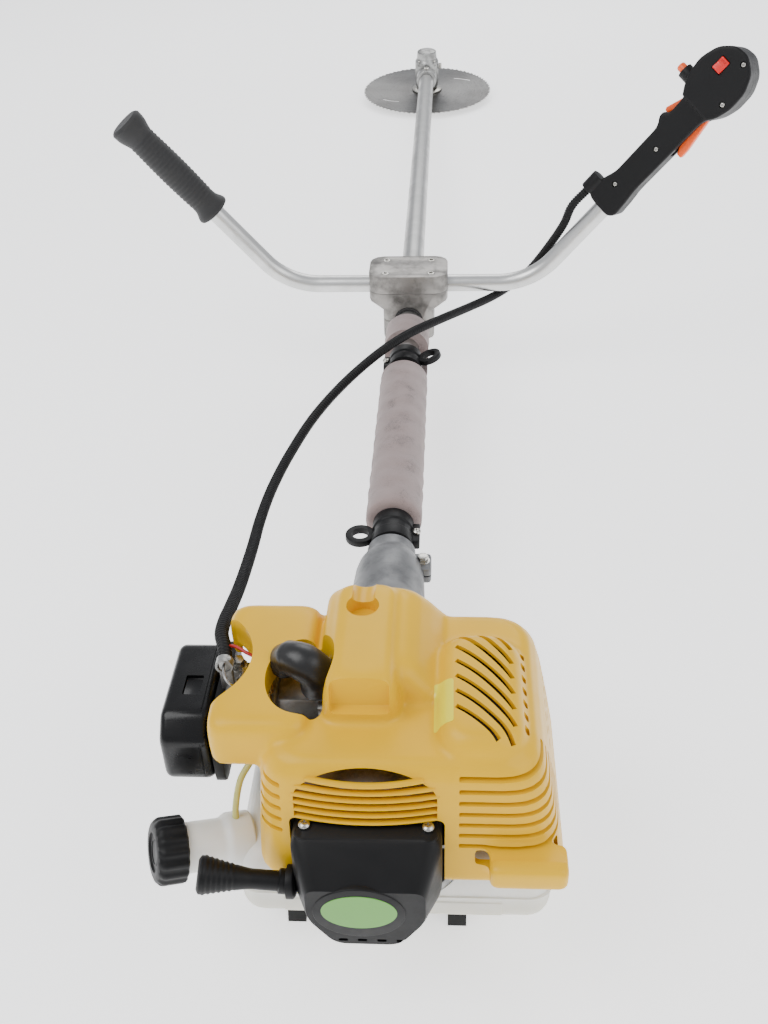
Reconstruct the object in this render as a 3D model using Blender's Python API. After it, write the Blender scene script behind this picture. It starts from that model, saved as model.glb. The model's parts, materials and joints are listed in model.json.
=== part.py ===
"""Petrol brush cutter with a circular blade, built piece by piece.

The machine lies as it is set down on a floor: on the engine's stand at the rear
and on the blade nut at the front, so the shaft slopes down a little towards the
blade.  +Y points forward to the blade, +X to the user's right and +Z up, and the
origin is on the floor under the stand.  Lengths are in metres.

Pieces are modelled around four lines, each an empty that carries them:
  crank_line    the crankshaft's axis, which is also the shaft's axis (local Y)
  spindle_line  the blade spindle's axis (local Z), leaning back from the shaft
  bar_line      the plane of the handlebar (local X and Z)
  handle_line   the throttle handle's own length (local Z)
"""

import math

import bmesh
import bpy
from mathutils import Matrix, Vector

# ------------------------------------------------------------ clearances
GAP = 0.0003            # between pieces that touch
RUN = 0.0010            # between a piece that moves and its neighbour

# ------------------------------------------------------------ overall layout
AXIS_HEIGHT = 0.104     # crank axis above the soles of the stand
SPINDLE_DISTANCE = 1.790   # engine centre to blade spindle
SPINDLE_LEAN = math.radians(5.0)

# ------------------------------------------------------------ drive tube and shaft
TUBE_OD = 0.028
TUBE_WALL = 0.0015
TUBE_REAR = 0.190
SHAFT_D = 0.008
SHAFT_REAR = 0.1410
BUSH_LENGTH = 0.030
BUSH_PLACES = (0.560, 1.330)
SOCKET_DEPTH = 0.034    # of the tube in the gear case

# ------------------------------------------------------------ crankcase, flywheel, clutch
CASE_R = 0.040
CASE_WALL = 0.009
CASE_REAR = -0.028
CASE_FRONT = 0.062
FAN_HOUSING_R = 0.060
FAN_HOUSING_WALL = 0.0045
FAN_HOUSING_REAR = -0.076
CRANK_D = 0.016
CRANK_WEB_R = 0.028
CRANK_WEBS = (0.002, 0.030)
FLYWHEEL_R = 0.0515
FLYWHEEL_Y = (-0.070, -0.038)
FLYWHEEL_FINS = 12
CLUTCH_BELL_R = 0.046
CLUTCH_BELL_WALL = 0.004
CLUTCH_BELL_FRONT = 0.128
CLUTCH_NOSE_R = 0.0205
CLUTCH_FRONT = 0.229
DRUM_R = 0.0385
DRUM_WALL = 0.003
DRUM_Y = (0.084, 0.118)
DRUM_BOSS_R = 0.009

# ------------------------------------------------------------ cylinder, muffler, carburettor
CYL_HALF = 0.034
CYL_Y = (-0.020, 0.050)
CYL_TOP = 0.068
CYL_FINS = 5
CYL_FIN = 0.0022
DECK_TOP = 0.045        # flat on the crankcase that carries the cylinder
MUFFLER = ((0.046, -0.026, -0.002), (0.098, 0.048, 0.062))
CARB = ((-0.0995, -0.010, 0.020), (-0.0345, 0.034, 0.058))
CABLE_STAY_Y = 0.014
BULB_R = 0.0075
BULB_AT = (0.027, 0.0095)   # of the primer bulb from the carburettor's lower left corner
BULB_WELL = 0.006
CHOKE_REACH = 0.0165
FILTER_BASE_T = 0.007
FILTER_DEPTH = 0.034
FILTER_Y = (-0.024, 0.066)
FILTER_Z = (-0.004, 0.052)
PLUG_FOOT = Vector((-0.027, 0.000, CYL_TOP - 0.004))
PLUG_TILT = (math.radians(10.0), math.radians(-22.0))
PLUG_THREAD = 0.45 * (CYL_TOP - DECK_TOP)
INLET_DROP = 0.013      # of the carburettor's inlet below the cylinder's top
INLET_LAP = 0.004       # of the inlet over the cylinder's foot, at the least
BOOT_R = 0.0125

# ------------------------------------------------------------ engine cover
WALL = 0.0026
COVER_X = (-0.072, 0.124)
COVER_Y = (-0.088, 0.074)
COVER_Z = (-0.014, 0.078)
BLOCK_X = (-0.031, 0.021)
BLOCK_Y = (-0.042, 0.066)
BLOCK_TOP = 0.108
BULGE_X = (0.036, 0.108)
BULGE_Y = (-0.080, 0.052)
BULGE_TOP = 0.091
WING_X = (-0.098, -0.040)
WING_Y = (-0.056, 0.066)
WING_TOP = 0.088
SLOT = 0.0034
LOUVRES = 5
LOUVRE_PITCH = 0.0066

# ------------------------------------------------------------ tank and stand
TANK_X = (-0.090, 0.118)
TANK_Y = (-0.074, 0.060)
TANK_Z = (-0.078, -0.018)
TANK_WALL = 0.003
NECK_R = 0.0165
NECK_FOOT = Vector((-0.088, -0.047, -0.030))
NECK_TILT = (math.radians(23.0), math.radians(14.0))   # back from -X, and up
NECK_LENGTH = 0.058
CAP_R = 0.022
CAP_HEIGHT = 0.020
CAP_WALL = 0.003
SKID_X = 0.056
SKID_W = 0.014
SKID_Y = (-0.060, 0.060)
CROSS_HALF = 0.012      # half of the width of the stand's cross member
CROSS_HEIGHT = 0.007

# ------------------------------------------------------------ starter
STARTER_HALF = 0.046
STARTER_TOP = 0.036
STARTER_BOTTOM = -0.048
STARTER_REAR = -0.118
STARTER_SHOULDER = -0.096
PULLEY_R = 0.030
PULLEY_WIDTH = 0.009
STARTER_WALL = 0.003
PULL_FOOT = Vector((-0.050, -0.096, -0.006))
PULL_TURN = (math.radians(-78.0), math.radians(5.0))   # from up to the left, and back
PULL_LENGTH = 0.056
PULL_R = 0.0125

# ------------------------------------------------------------ gear head and blade
GEAR_CASE_R = 0.023
GEAR_CASE_TOP = 0.046
GEAR_CASE_BOTTOM = -0.024
GEAR_CASE_WALL = 0.006
GEAR_SOCKET = 0.062
PINION_R = 0.009
PINION_Y = (-0.025, -0.0125)
PINION_TEETH = 12
RING_GEAR_R = 0.0155
RING_GEAR_Z = (-0.0185, -0.0105)
RING_GEAR_TEETH = 17
SPINDLE_D = 0.010
ARBOR_D = 0.0254
FLANGE_R = 0.030
FLANGE_Z = (-0.0320, -0.0260)
BLADE_R = 0.1275
BLADE_T = 0.0014
BLADE_TEETH = 80
BLADE_TOOTH = 0.003
WASHER_R = 0.026
WASHER_T = 0.004
NUT_AF = 0.017
NUT_H = 0.011

# ------------------------------------------------------------ handlebar and clamp
BAR_D = 0.020
BAR_WALL = 0.0015
BAR_Y = 0.706
BAR_Z = 0.034
BAR_LEAN = math.radians(8.0)
BAR_STRAIGHT = 0.105    # half of the straight middle
BAR_BEND_R = 0.080
ARM_ANGLE = math.radians(52.0)
LEFT_ARM = 0.213
RIGHT_ARM = 0.158
GRIP_START = 0.083      # along each arm from its bend
CLAMP_HALF = (0.046, 0.031)
CLAMP_TOP = 0.055
SHAFT_CLAMP_HALF = 0.030
SHAFT_CLAMP_BOTTOM = -0.024
CLAMP_SCREW_AT = (0.0265, 0.0190)
SCREW_D = 0.005
SCREW_HEAD_D = 0.0085
SCREW_HEAD_H = 0.005
BUSH_RING_T = 0.0022
GRIP_LENGTH = 0.136
GRIP_R = 0.0150
GRIP_FLARE_R = 0.0195
CLAMP_ROUND = 0.016

# ------------------------------------------------------------ throttle handle
HANDLE_ROLL = math.radians(-35.0)
HANDLE_LENGTH = 0.212
HANDLE_BORE = 0.075
GRIP_DEPTH = 0.0140     # half of the grip's thickness
HEAD_DEPTH = 0.0215     # half of the head's thickness
HEAD_START = 0.146
TRIGGER_PIVOT = Vector((0.0060, 0.0, 0.1400))
TRIGGER_LENGTH = 0.044
TRIGGER_HALF = 0.0048
LOCK_PIVOT = Vector((-0.0060, 0.0, 0.1430))
LOCK_LENGTH = 0.026
BUTTON_AT = Vector((-0.030, -0.004, 0.158))
BUTTON_R = 0.0048
BUTTON_BOSS_R = 0.0080
SWITCH_AT = Vector((-0.010, -HEAD_DEPTH, 0.188))
SWITCH_SIZE = (0.010, 0.0145)
SWITCH_THROW = math.radians(16.0)   # of the rocker, from run to stop
CABLE_BOSS = Vector((-0.0250, -0.0090, 0.0030))
CABLE_BOSS_R = 0.0085
CABLE_BOSS_LENGTH = 0.020

# ------------------------------------------------------------ sleeve, rings, conduit
SLEEVE_R = 0.025
SLEEVE_Y = (0.272, BAR_Y - 0.060)
SLEEVE_WINDOW = (BAR_Y - 0.176, BAR_Y - 0.104)
RING_LENGTH = 0.030
RING_T = 0.004
UPPER_RING_Y = BAR_Y - 0.140
LOWER_RING_Y = (0.2355, 0.2700)
EYE_R = 0.013
EYE_HOLE_R = 0.0075
EYE_T = 0.006
EYE_LAP = 0.003         # how far the eye's disc runs into its band
CONDUIT_D = 0.010
CONDUIT_POINTS = 56
# Route of the conduit around the crank line.  The first part hangs from the throttle
# handle and follows it, as offsets from where it leaves the handle.  The second crosses
# the sleeve, with y as a share of the handlebar's place.  The last one is the carburettor's.
CONDUIT_DROP = (
    (0.0000, 0.0000, 0.0000), (-0.0154, 0.0028, -0.0195), (-0.0231, 0.0089, -0.0439),
    (-0.0389, 0.0197, -0.0763), (-0.0576, 0.0269, -0.1059), (-0.0786, 0.0239, -0.1239),
    (-0.1006, 0.0089, -0.1314), (-0.1286, -0.0251, -0.1289),
)
CONDUIT_CROSSING = (
    (0.0370, 0.8782, 0.0280), (0.0040, 0.8215, 0.0310), (-0.0270, 0.7620, 0.0290),
    (-0.0600, 0.6912, 0.0210), (-0.0870, 0.6218, 0.0100), (-0.1050, 0.5368, 0.0040),
    (-0.1140, 0.4504, 0.0060), (-0.1160, 0.3683, 0.0130), (-0.1130, 0.2805, 0.0270),
)
CONDUIT_END = (
    (-0.1100, 0.1320, 0.0450), (-0.1085, 0.0870, 0.0600), (-0.1082, 0.0650, 0.0670),
    (-0.1065, 0.0450, 0.0725), (-0.1015, 0.0285, 0.0755), (-0.0985, 0.0156, 0.0755),
)

# ------------------------------------------------------------ finishes: colour, roughness, metallic
FINISHES = {
    "yellow_abs": ((0.723, 0.423, 0.038), 0.32, 0.0),
    "black_nylon": ((0.012, 0.012, 0.013), 0.42, 0.0),
    "black_rubber": ((0.010, 0.010, 0.011), 0.78, 0.0),
    "orange_nylon": ((0.890, 0.115, 0.010), 0.40, 0.0),
    "red_nylon": ((0.700, 0.022, 0.018), 0.35, 0.0),
    "tank_polyethylene": ((0.760, 0.760, 0.730), 0.45, 0.0),
    "drawn_aluminium": ((0.710, 0.710, 0.700), 0.35, 1.0),
    "cast_aluminium": ((0.350, 0.350, 0.345), 0.50, 1.0),
    "plated_steel": ((0.600, 0.600, 0.590), 0.30, 1.0),
    "ground_steel": ((0.480, 0.480, 0.480), 0.28, 1.0),
    "dark_steel": ((0.090, 0.088, 0.085), 0.55, 1.0),
    "sintered_bronze": ((0.450, 0.290, 0.120), 0.50, 1.0),
    "grey_foam": ((0.360, 0.290, 0.285), 0.92, 0.0),
    "white_ceramic": ((0.800, 0.790, 0.760), 0.25, 0.0),
}

ALONG = {"x": Matrix.Rotation(math.radians(90), 4, "Y"),
         "y": Matrix.Rotation(math.radians(-90), 4, "X"),
         "z": Matrix.Identity(4)}


# ============================================================ scene helpers
def clear_scene():
    """Remove every object that the file starts with."""
    for item in list(bpy.data.objects):
        bpy.data.objects.remove(item, do_unlink=True)


def finish_material(finish):
    """Return the Principled material of a finish, made once."""
    existing = bpy.data.materials.get(finish)
    if existing:
        return existing
    colour, roughness, metallic = FINISHES[finish]
    material = bpy.data.materials.new(finish)
    material.use_nodes = True
    shader = material.node_tree.nodes["Principled BSDF"]
    shader.inputs["Base Color"].default_value = (*colour, 1.0)
    shader.inputs["Roughness"].default_value = roughness
    shader.inputs["Metallic"].default_value = metallic
    material.diffuse_color = (*colour, 1.0)
    return material


def line(name, parent=None, location=(0, 0, 0), rotation=(0, 0, 0)):
    """Add an empty that carries pieces."""
    empty = bpy.data.objects.new(name, None)
    empty.empty_display_size = 0.05
    empty.location = location
    empty.rotation_euler = rotation
    empty.parent = parent
    bpy.context.collection.objects.link(empty)
    return empty


def piece(name, mesh, finish, parent, location=(0, 0, 0), rotation=(0, 0, 0)):
    """Turn a bmesh into a named object under a line, smooth where it is round."""
    bmesh.ops.recalc_face_normals(mesh, faces=mesh.faces)
    data = bpy.data.meshes.new(name)
    mesh.to_mesh(data)
    mesh.free()
    data.shade_smooth()
    data.set_sharp_from_angle(angle=math.radians(32))
    item = bpy.data.objects.new(name, data)
    item.location = location
    item.rotation_euler = rotation
    item.parent = parent
    if finish:
        data.materials.append(finish_material(finish))
    bpy.context.collection.objects.link(item)
    return item


def tool(name, mesh, parent, location=(0, 0, 0), rotation=(0, 0, 0)):
    """Add a hidden solid that shapes another piece."""
    item = piece("tool_" + name, mesh, None, parent, location, rotation)
    item.hide_render = True
    item.display_type = "WIRE"
    return item


def shaped(item, operation, *tools):
    """Apply hidden solids to a piece with Boolean modifiers."""
    for other in tools:
        boolean = item.modifiers.new(operation.lower(), "BOOLEAN")
        boolean.operation = operation
        boolean.solver = "EXACT"
        boolean.object = other
    return item


def cut(item, *tools):
    """Take hidden solids away from a piece."""
    return shaped(item, "DIFFERENCE", *tools)


def fuse(item, *tools):
    """Add hidden solids to a piece."""
    return shaped(item, "UNION", *tools)


# ============================================================ shapes
def lathe(profile, axis="y", steps=22, ring=False):
    """Spin a profile of (radius, distance) around an axis; a ring profile closes on itself."""
    mesh = bmesh.new()
    points = [mesh.verts.new((radius, 0.0, along)) for radius, along in profile]
    edges = [mesh.edges.new(pair) for pair in zip(points, points[1:])]
    if ring:
        edges.append(mesh.edges.new((points[-1], points[0])))
    bmesh.ops.spin(mesh, geom=points + edges, cent=(0, 0, 0), axis=(0, 0, 1),
                   angle=math.tau, steps=steps, use_merge=True)
    bmesh.ops.remove_doubles(mesh, verts=mesh.verts, dist=1e-6)
    bmesh.ops.transform(mesh, matrix=ALONG[axis], verts=mesh.verts)
    return mesh


def rod(radius, low, high, axis="y", steps=16):
    """A plain round bar between two places on an axis."""
    return lathe([(0, low), (radius, low), (radius, high), (0, high)], axis, steps)


def ring(inner, outer, low, high, axis="y", steps=22):
    """A plain round ring between two places on an axis."""
    return lathe([(inner, low), (outer, low), (outer, high), (inner, high)], axis, steps, True)


def block(low, high, bevel=0.0, segments=2):
    """A box between two corners, with rounded edges where a bevel is given."""
    mesh = bmesh.new()
    bmesh.ops.create_cube(mesh, size=1.0)
    size = [b - a for a, b in zip(low, high)]
    middle = [(a + b) / 2 for a, b in zip(low, high)]
    bmesh.ops.scale(mesh, vec=size, verts=mesh.verts)
    bmesh.ops.translate(mesh, vec=middle, verts=mesh.verts)
    if bevel:
        bmesh.ops.bevel(mesh, geom=mesh.edges, offset=bevel, offset_type="OFFSET",
                        segments=segments, profile=0.5, affect="EDGES", clamp_overlap=True)
    return mesh


def rounded(corners, radius, steps=3):
    """Round each corner of a convex outline with an arc."""
    outline = []
    count = len(corners)
    for index, corner in enumerate(corners):
        here = Vector(corner)
        before = (Vector(corners[index - 1]) - here).normalized()
        after = (Vector(corners[(index + 1) % count]) - here).normalized()
        half = before.angle(after) / 2
        reach = radius / math.tan(half)
        centre = here + (before + after).normalized() * (radius / math.sin(half))
        start = (here + before * reach - centre).normalized()
        end = (here + after * reach - centre).normalized()
        for step in range(steps + 1):
            outline.append(tuple(centre + radius * start.slerp(end, step / steps)))
    return outline


def rectangle(x_range, y_range):
    """The four corners of a rectangle, anticlockwise."""
    return [(x_range[0], y_range[0]), (x_range[1], y_range[0]),
            (x_range[1], y_range[1]), (x_range[0], y_range[1])]


def loft(sections):
    """Join outlines of equal length, each given as (outline, height), into one solid."""
    mesh = bmesh.new()
    rows = [[mesh.verts.new((x, y, height)) for x, y in outline] for outline, height in sections]
    count = len(rows[0])
    for lower, upper in zip(rows, rows[1:]):
        for index in range(count):
            after = (index + 1) % count
            mesh.faces.new((lower[index], lower[after], upper[after], upper[index]))
    mesh.faces.new(list(reversed(rows[0])))
    mesh.faces.new(rows[-1])
    return mesh


def prism(outline, low, high, axis="z"):
    """Extrude an outline between two places on an axis.

    The outline's two coordinates are (x, y) for z, (x, z) for y and (y, z) for x.
    """
    mesh = loft([(outline, low), (outline, high)])
    turned = {"z": Matrix.Identity(4),
              "y": Matrix(((1, 0, 0, 0), (0, 0, 1, 0), (0, 1, 0, 0), (0, 0, 0, 1))),
              "x": Matrix(((0, 0, 1, 0), (1, 0, 0, 0), (0, 1, 0, 0), (0, 0, 0, 1)))}
    bmesh.ops.transform(mesh, matrix=turned[axis], verts=mesh.verts)
    return mesh


def together(*meshes):
    """Collect several solids in one bmesh, for a hidden solid with many parts."""
    whole = bmesh.new()
    for mesh in meshes:
        data = bpy.data.meshes.new("part")
        bmesh.ops.recalc_face_normals(mesh, faces=mesh.faces)
        mesh.to_mesh(data)
        mesh.free()
        whole.from_mesh(data)
        bpy.data.meshes.remove(data)
    return whole


def toothed(root, tip, teeth, share=0.5):
    """Outline of a wheel whose teeth stand between two radii."""
    outline = []
    pitch = math.tau / teeth
    for index in range(teeth):
        for radius, part in ((root, 0.0), (root, 1 - share), (tip, 1 - share * 0.8), (tip, 0.96)):
            angle = pitch * (index + part)
            outline.append((radius * math.cos(angle), radius * math.sin(angle)))
    return outline


def hexagon(across_flats):
    """Outline of a hexagon."""
    radius = across_flats / math.sqrt(3)
    return [(radius * math.cos(math.radians(60 * k)), radius * math.sin(math.radians(60 * k)))
            for k in range(6)]


def smooth_points(route, count):
    """Read evenly spaced points from a Catmull-Rom curve through a route."""
    knots = [Vector(point) for point in route]
    knots = [2 * knots[0] - knots[1]] + knots + [2 * knots[-1] - knots[-2]]
    fine = []
    for before, start, end, after in zip(knots, knots[1:], knots[2:], knots[3:]):
        for step in range(24):
            t = step / 24
            fine.append(0.5 * (2 * start + (end - before) * t
                               + (2 * before - 5 * start + 4 * end - after) * t ** 2
                               + (3 * start - before - 3 * end + after) * t ** 3))
    fine.append(knots[-2])
    lengths = [0.0]
    for first, second in zip(fine, fine[1:]):
        lengths.append(lengths[-1] + (second - first).length)
    points = []
    index = 0
    for number in range(count):
        target = lengths[-1] * number / (count - 1)
        while index < len(fine) - 2 and lengths[index + 1] < target:
            index += 1
        span = lengths[index + 1] - lengths[index]
        points.append(fine[index].lerp(fine[index + 1], (target - lengths[index]) / span))
    return points


def bent_rod(name, points, radius, finish, parent, resolution=2):
    """A round bar along points, as a curve with filled ends."""
    data = bpy.data.curves.new(name, "CURVE")
    data.dimensions = "3D"
    spline = data.splines.new("POLY")
    spline.points.add(len(points) - 1)
    for target, point in zip(spline.points, points):
        target.co = (*point, 1.0)
    data.bevel_depth = radius
    data.bevel_resolution = resolution
    data.use_fill_caps = True
    item = bpy.data.objects.new(name, data)
    item.parent = parent
    if finish:
        data.materials.append(finish_material(finish))
    bpy.context.collection.objects.link(item)
    return item


def swept_rod(points, radius, resolution):
    """The bmesh of a round bar along points."""
    guide = bent_rod("guide", points, radius, None, None, resolution)
    data = bpy.data.meshes.new_from_object(guide)
    mesh = bmesh.new()
    mesh.from_mesh(data)
    bmesh.ops.remove_doubles(mesh, verts=mesh.verts, dist=1e-6)
    bpy.data.objects.remove(guide, do_unlink=True)
    bpy.data.meshes.remove(data)
    return mesh


# ============================================================ resting position
def blade_nut_bottom():
    """Height of the nut's lower face on the spindle's line."""
    return FLANGE_Z[0] - GAP - BLADE_T - GAP - WASHER_T - GAP - NUT_H


def resting_pitch():
    """Slope of the shaft when the stand's soles and the nut's rim are on the floor."""
    depth = -blade_nut_bottom()
    rim = NUT_AF / math.sqrt(3)
    forward = SPINDLE_DISTANCE + depth * math.sin(SPINDLE_LEAN) - rim * math.cos(SPINDLE_LEAN)
    height = AXIS_HEIGHT - depth * math.cos(SPINDLE_LEAN) - rim * math.sin(SPINDLE_LEAN)
    return math.atan2(height, forward)


# ============================================================ engine
def crankcase(crank_line):
    """Cast case around the crank webs, with the fan housing and the cylinder's deck."""
    bore = CRANK_D / 2 + RUN
    cavity = CASE_R - CASE_WALL
    fan_inner = FAN_HOUSING_R - FAN_HOUSING_WALL
    profile = [(bore, CASE_FRONT), (CASE_R, CASE_FRONT), (CASE_R, CASE_REAR),
               (FAN_HOUSING_R, CASE_REAR - 0.002), (FAN_HOUSING_R, FAN_HOUSING_REAR),
               (fan_inner, FAN_HOUSING_REAR), (fan_inner, CASE_REAR - 0.006),
               (bore, CASE_REAR - 0.006), (bore, CRANK_WEBS[0] - 0.010), (cavity, CRANK_WEBS[0] - 0.010),
               (cavity, CRANK_WEBS[1] + 0.010), (bore, CRANK_WEBS[1] + 0.010)]
    case = piece("crankcase", lathe(profile, ring=True, steps=28), "cast_aluminium", crank_line)
    deck = tool("deck", block((-CYL_HALF, CYL_Y[0], cavity + 0.002), (CYL_HALF, CYL_Y[1], DECK_TOP)),
                crank_line)
    return fuse(case, deck)


def crankshaft(crank_line):
    """Crankshaft with its two webs as one turned piece."""
    radius = CRANK_D / 2
    profile = [(0, FLYWHEEL_Y[0] - 0.004), (radius, FLYWHEEL_Y[0] - 0.004), (radius, CRANK_WEBS[0]),
               (CRANK_WEB_R, CRANK_WEBS[0]), (CRANK_WEB_R, CRANK_WEBS[1]), (radius, CRANK_WEBS[1]),
               (radius, DRUM_Y[1] - DRUM_WALL - 0.004), (0, DRUM_Y[1] - DRUM_WALL - 0.004)]
    return piece("crankshaft", lathe(profile), "ground_steel", crank_line)


def flywheel(crank_line):
    """Magneto flywheel with the cooling fan's fins on its rear face."""
    plate = rod(FLYWHEEL_R, FLYWHEEL_Y[1] - 0.010, FLYWHEEL_Y[1], steps=32)
    wheel = piece("flywheel", plate, "cast_aluminium", crank_line)
    fins = prism(toothed(0.024, FLYWHEEL_R - 0.002, FLYWHEEL_FINS, 0.2),
                 FLYWHEEL_Y[0], FLYWHEEL_Y[1] - 0.008, "y")
    bore = rod(CRANK_D / 2 + GAP, FLYWHEEL_Y[0] - 0.01, FLYWHEEL_Y[1] + 0.01)
    fuse(wheel, tool("fins", fins, crank_line))
    return cut(wheel, tool("flywheel_bore", bore, crank_line))


def cylinder(crank_line):
    """Finned cylinder and head, cast in one."""
    core = 0.024
    middle = sum(CYL_Y) / 2
    foot = DECK_TOP + GAP
    barrel = piece("cylinder", block((-core, middle - core, foot), (core, middle + core, CYL_TOP - 0.001)),
                   "cast_aluminium", crank_line)
    pitch = (CYL_TOP - foot - CYL_FIN) / (CYL_FINS - 1)
    for number in range(CYL_FINS):
        low = foot + pitch * number
        fin = block((-CYL_HALF, CYL_Y[0], low), (CYL_HALF, CYL_Y[1], low + CYL_FIN))
        fuse(barrel, tool("fin_%d" % number, fin, crank_line))
    seat = rod(0.0082, -PLUG_THREAD - GAP, 0.030, "z")
    return cut(barrel, tool("plug_seat", seat, crank_line, PLUG_FOOT, plug_turn()))


def plug_turn():
    """Turn of the spark plug's line from upright."""
    return (PLUG_TILT[0], PLUG_TILT[1], 0.0)


def spark_plug(crank_line):
    """Spark plug: threaded foot, hexagon, insulator and terminal."""
    profile = [(0, -PLUG_THREAD), (0.0065, -PLUG_THREAD), (0.0065, 0.0), (0.0078, 0.0005), (0.0078, 0.010),
               (0.0050, 0.011), (0.0042, 0.026), (0.0028, 0.027), (0.0028, 0.033), (0, 0.033)]
    return piece("spark_plug", lathe(profile, "z", 18), "white_ceramic", crank_line,
                 PLUG_FOOT, plug_turn())


def spark_plug_boot(crank_line):
    """Rubber boot over the plug, with the lead's elbow."""
    profile = [(0, 0.0345), (0.0036, 0.0345), (0.0036, 0.0275), (0.0060, 0.0265), (0.0060, 0.0125),
               (0.0140, 0.0125), (0.0140, 0.0150), (BOOT_R, 0.0175), (BOOT_R, 0.032),
               (0.0095, 0.0385), (0.004, 0.0415), (0, 0.042)]
    boot = piece("spark_plug_boot", lathe(profile, "z", 24), "black_rubber", crank_line,
                 PLUG_FOOT, plug_turn())
    elbow = tool("elbow", rod(0.0060, 0.008, 0.017, "y", 14), crank_line)
    elbow.parent = boot
    elbow.location = (0, 0, 0.029)
    return fuse(boot, elbow)


def muffler(crank_line):
    """Pressed steel muffler on the right of the cylinder."""
    return piece("muffler", block(*MUFFLER, bevel=0.008), "dark_steel", crank_line)


def carburettor(crank_line):
    """Carburettor body with its inlet insulator and the cable stay on top."""
    (x0, y0, z0), (x1, y1, z1) = CARB
    body = piece("carburettor", block((x0, y0, z0), (x0 + 0.036, y1, z1), 0.002), "cast_aluminium",
                 crank_line)
    inlet_top = max(CYL_TOP - INLET_DROP, DECK_TOP + INLET_LAP)
    inlet = block((x0 + 0.030, y0 + 0.010, z0 + 0.012), (x1 - GAP, y1 - 0.008, inlet_top))
    stay = block((x0 - 0.003, CABLE_STAY_Y - 0.004, z1 - 0.004), (x0 + 0.006, CABLE_STAY_Y, z1 + 0.023))
    fuse(body, tool("inlet", inlet, crank_line), tool("stay", stay, crank_line))
    well = rod(BULB_R + RUN, -0.01, BULB_WELL, "y", 22)
    return cut(body, tool("bulb_well", well, crank_line, (x0 + BULB_AT[0], y0, z0 + BULB_AT[1])))


def throttle_arm(crank_line):
    """Arm that turns the carburettor's throttle."""
    arm = piece("throttle_arm", rod(0.0045, 0.0, 0.005, "z", 16), "plated_steel", crank_line,
                (CARB[0][0] + 0.012, 0.010, CARB[1][2] + GAP))
    lever = tool("arm_lever", block((-0.003, -0.002, 0.001), (0.003, 0.013, 0.004)), None)
    lever.parent = arm
    return fuse(arm, lever)


def choke_lever(crank_line):
    """Choke lever on the rear face of the carburettor."""
    lever = piece("choke_lever", rod(0.0050, -0.005, 0.0, "y", 16), "black_nylon", crank_line,
                  (CARB[0][0] + 0.010, CARB[0][1] - GAP, CARB[1][2] - 0.008))
    handle = tool("choke_handle", block((-0.003, -0.0045, -CHOKE_REACH), (0.003, -0.001, 0.001)), None)
    handle.parent = lever
    return fuse(lever, handle)


def primer_bulb(crank_line):
    """Primer bulb in its well, low on the rear face of the carburettor."""
    x0, y0, z0 = CARB[0]
    profile = [(0, -0.009), (0.0042, -0.008), (0.0066, -0.005), (BULB_R, -0.001), (BULB_R, 0.0012),
               (0, 0.0012)]
    return piece("primer_bulb", lathe(profile, "y", 20), "tank_polyethylene", crank_line,
                 (x0 + BULB_AT[0], y0, z0 + BULB_AT[1]))


def air_filter_base(crank_line):
    """Filter plate on the carburettor's mouth."""
    x1 = CARB[0][0] - GAP
    x0 = x1 - FILTER_BASE_T
    outline = rounded(rectangle(FILTER_Y, FILTER_Z), 0.010)
    plate = piece("air_filter_base", prism(outline, x0, x1, "x"), "black_nylon", crank_line)
    mouth = rod(0.009, x0 - 0.01, x1 + 0.01, "x", 20)
    return cut(plate, tool("mouth", mouth, crank_line, (0, 0.012, 0.038)))


def air_filter_cover(crank_line):
    """Deep filter cover, open towards the plate."""
    x1 = CARB[0][0] - 2 * GAP - FILTER_BASE_T
    x0 = x1 - FILTER_DEPTH
    grow = 0.001
    outer = rounded(rectangle((FILTER_Y[0] - grow, FILTER_Y[1] + grow),
                              (FILTER_Z[0] - grow, FILTER_Z[1] + grow)), 0.012)
    cap = piece("air_filter_cover", prism(outer, x0, x1, "x"), "black_nylon", crank_line)
    inner = rounded(rectangle((FILTER_Y[0] + 0.003, FILTER_Y[1] - 0.003),
                              (FILTER_Z[0] + 0.003, FILTER_Z[1] - 0.003)), 0.008)
    return cut(cap, tool("filter_room", prism(inner, x0 + 0.003, x1 + 0.01, "x"), crank_line))


# ============================================================ engine cover
def hood(x_range, y_range, z_range, taper, inset, radius):
    """A hood with rounded corners; taper is how far each side leans in: left, right, rear, front."""
    left, right, rear, front = taper
    low = rounded(rectangle((x_range[0] + inset, x_range[1] - inset),
                            (y_range[0] + inset, y_range[1] - inset)), radius - inset)
    brim = z_range[1] - 0.010 - inset
    share = (brim - z_range[0]) / (z_range[1] - z_range[0])
    middle = rounded(rectangle((x_range[0] + inset + left * share, x_range[1] - inset - right * share),
                               (y_range[0] + inset + rear * share, y_range[1] - inset - front * share)),
                     radius - inset)
    soft = 0.005
    top = rounded(rectangle((x_range[0] + inset + left + soft, x_range[1] - inset - right - soft),
                            (y_range[0] + inset + rear + soft, y_range[1] - inset - front - soft)),
                  radius - inset)
    foot = z_range[0] - (0.02 if inset else 0.0)
    return loft([(low, foot), (middle, brim), (top, z_range[1] - inset)])


def cover_hoods(inset):
    """The four volumes of the engine cover: body, muffler bulge, middle block and carburettor wing."""
    return [
        hood(COVER_X, COVER_Y, COVER_Z, (0.006, 0.016, 0.009, 0.006), inset, 0.016),
        hood(BULGE_X, BULGE_Y, (0.040, BULGE_TOP), (0.006, 0.012, 0.012, 0.020), inset, 0.016),
        hood(BLOCK_X, BLOCK_Y, (0.060, BLOCK_TOP), (0.002, 0.002, 0.001, 0.004), inset, 0.007),
        hood(WING_X, WING_Y, (0.058, WING_TOP), (-0.002, 0.0, 0.002, 0.004), inset, 0.010),
    ]


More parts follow.
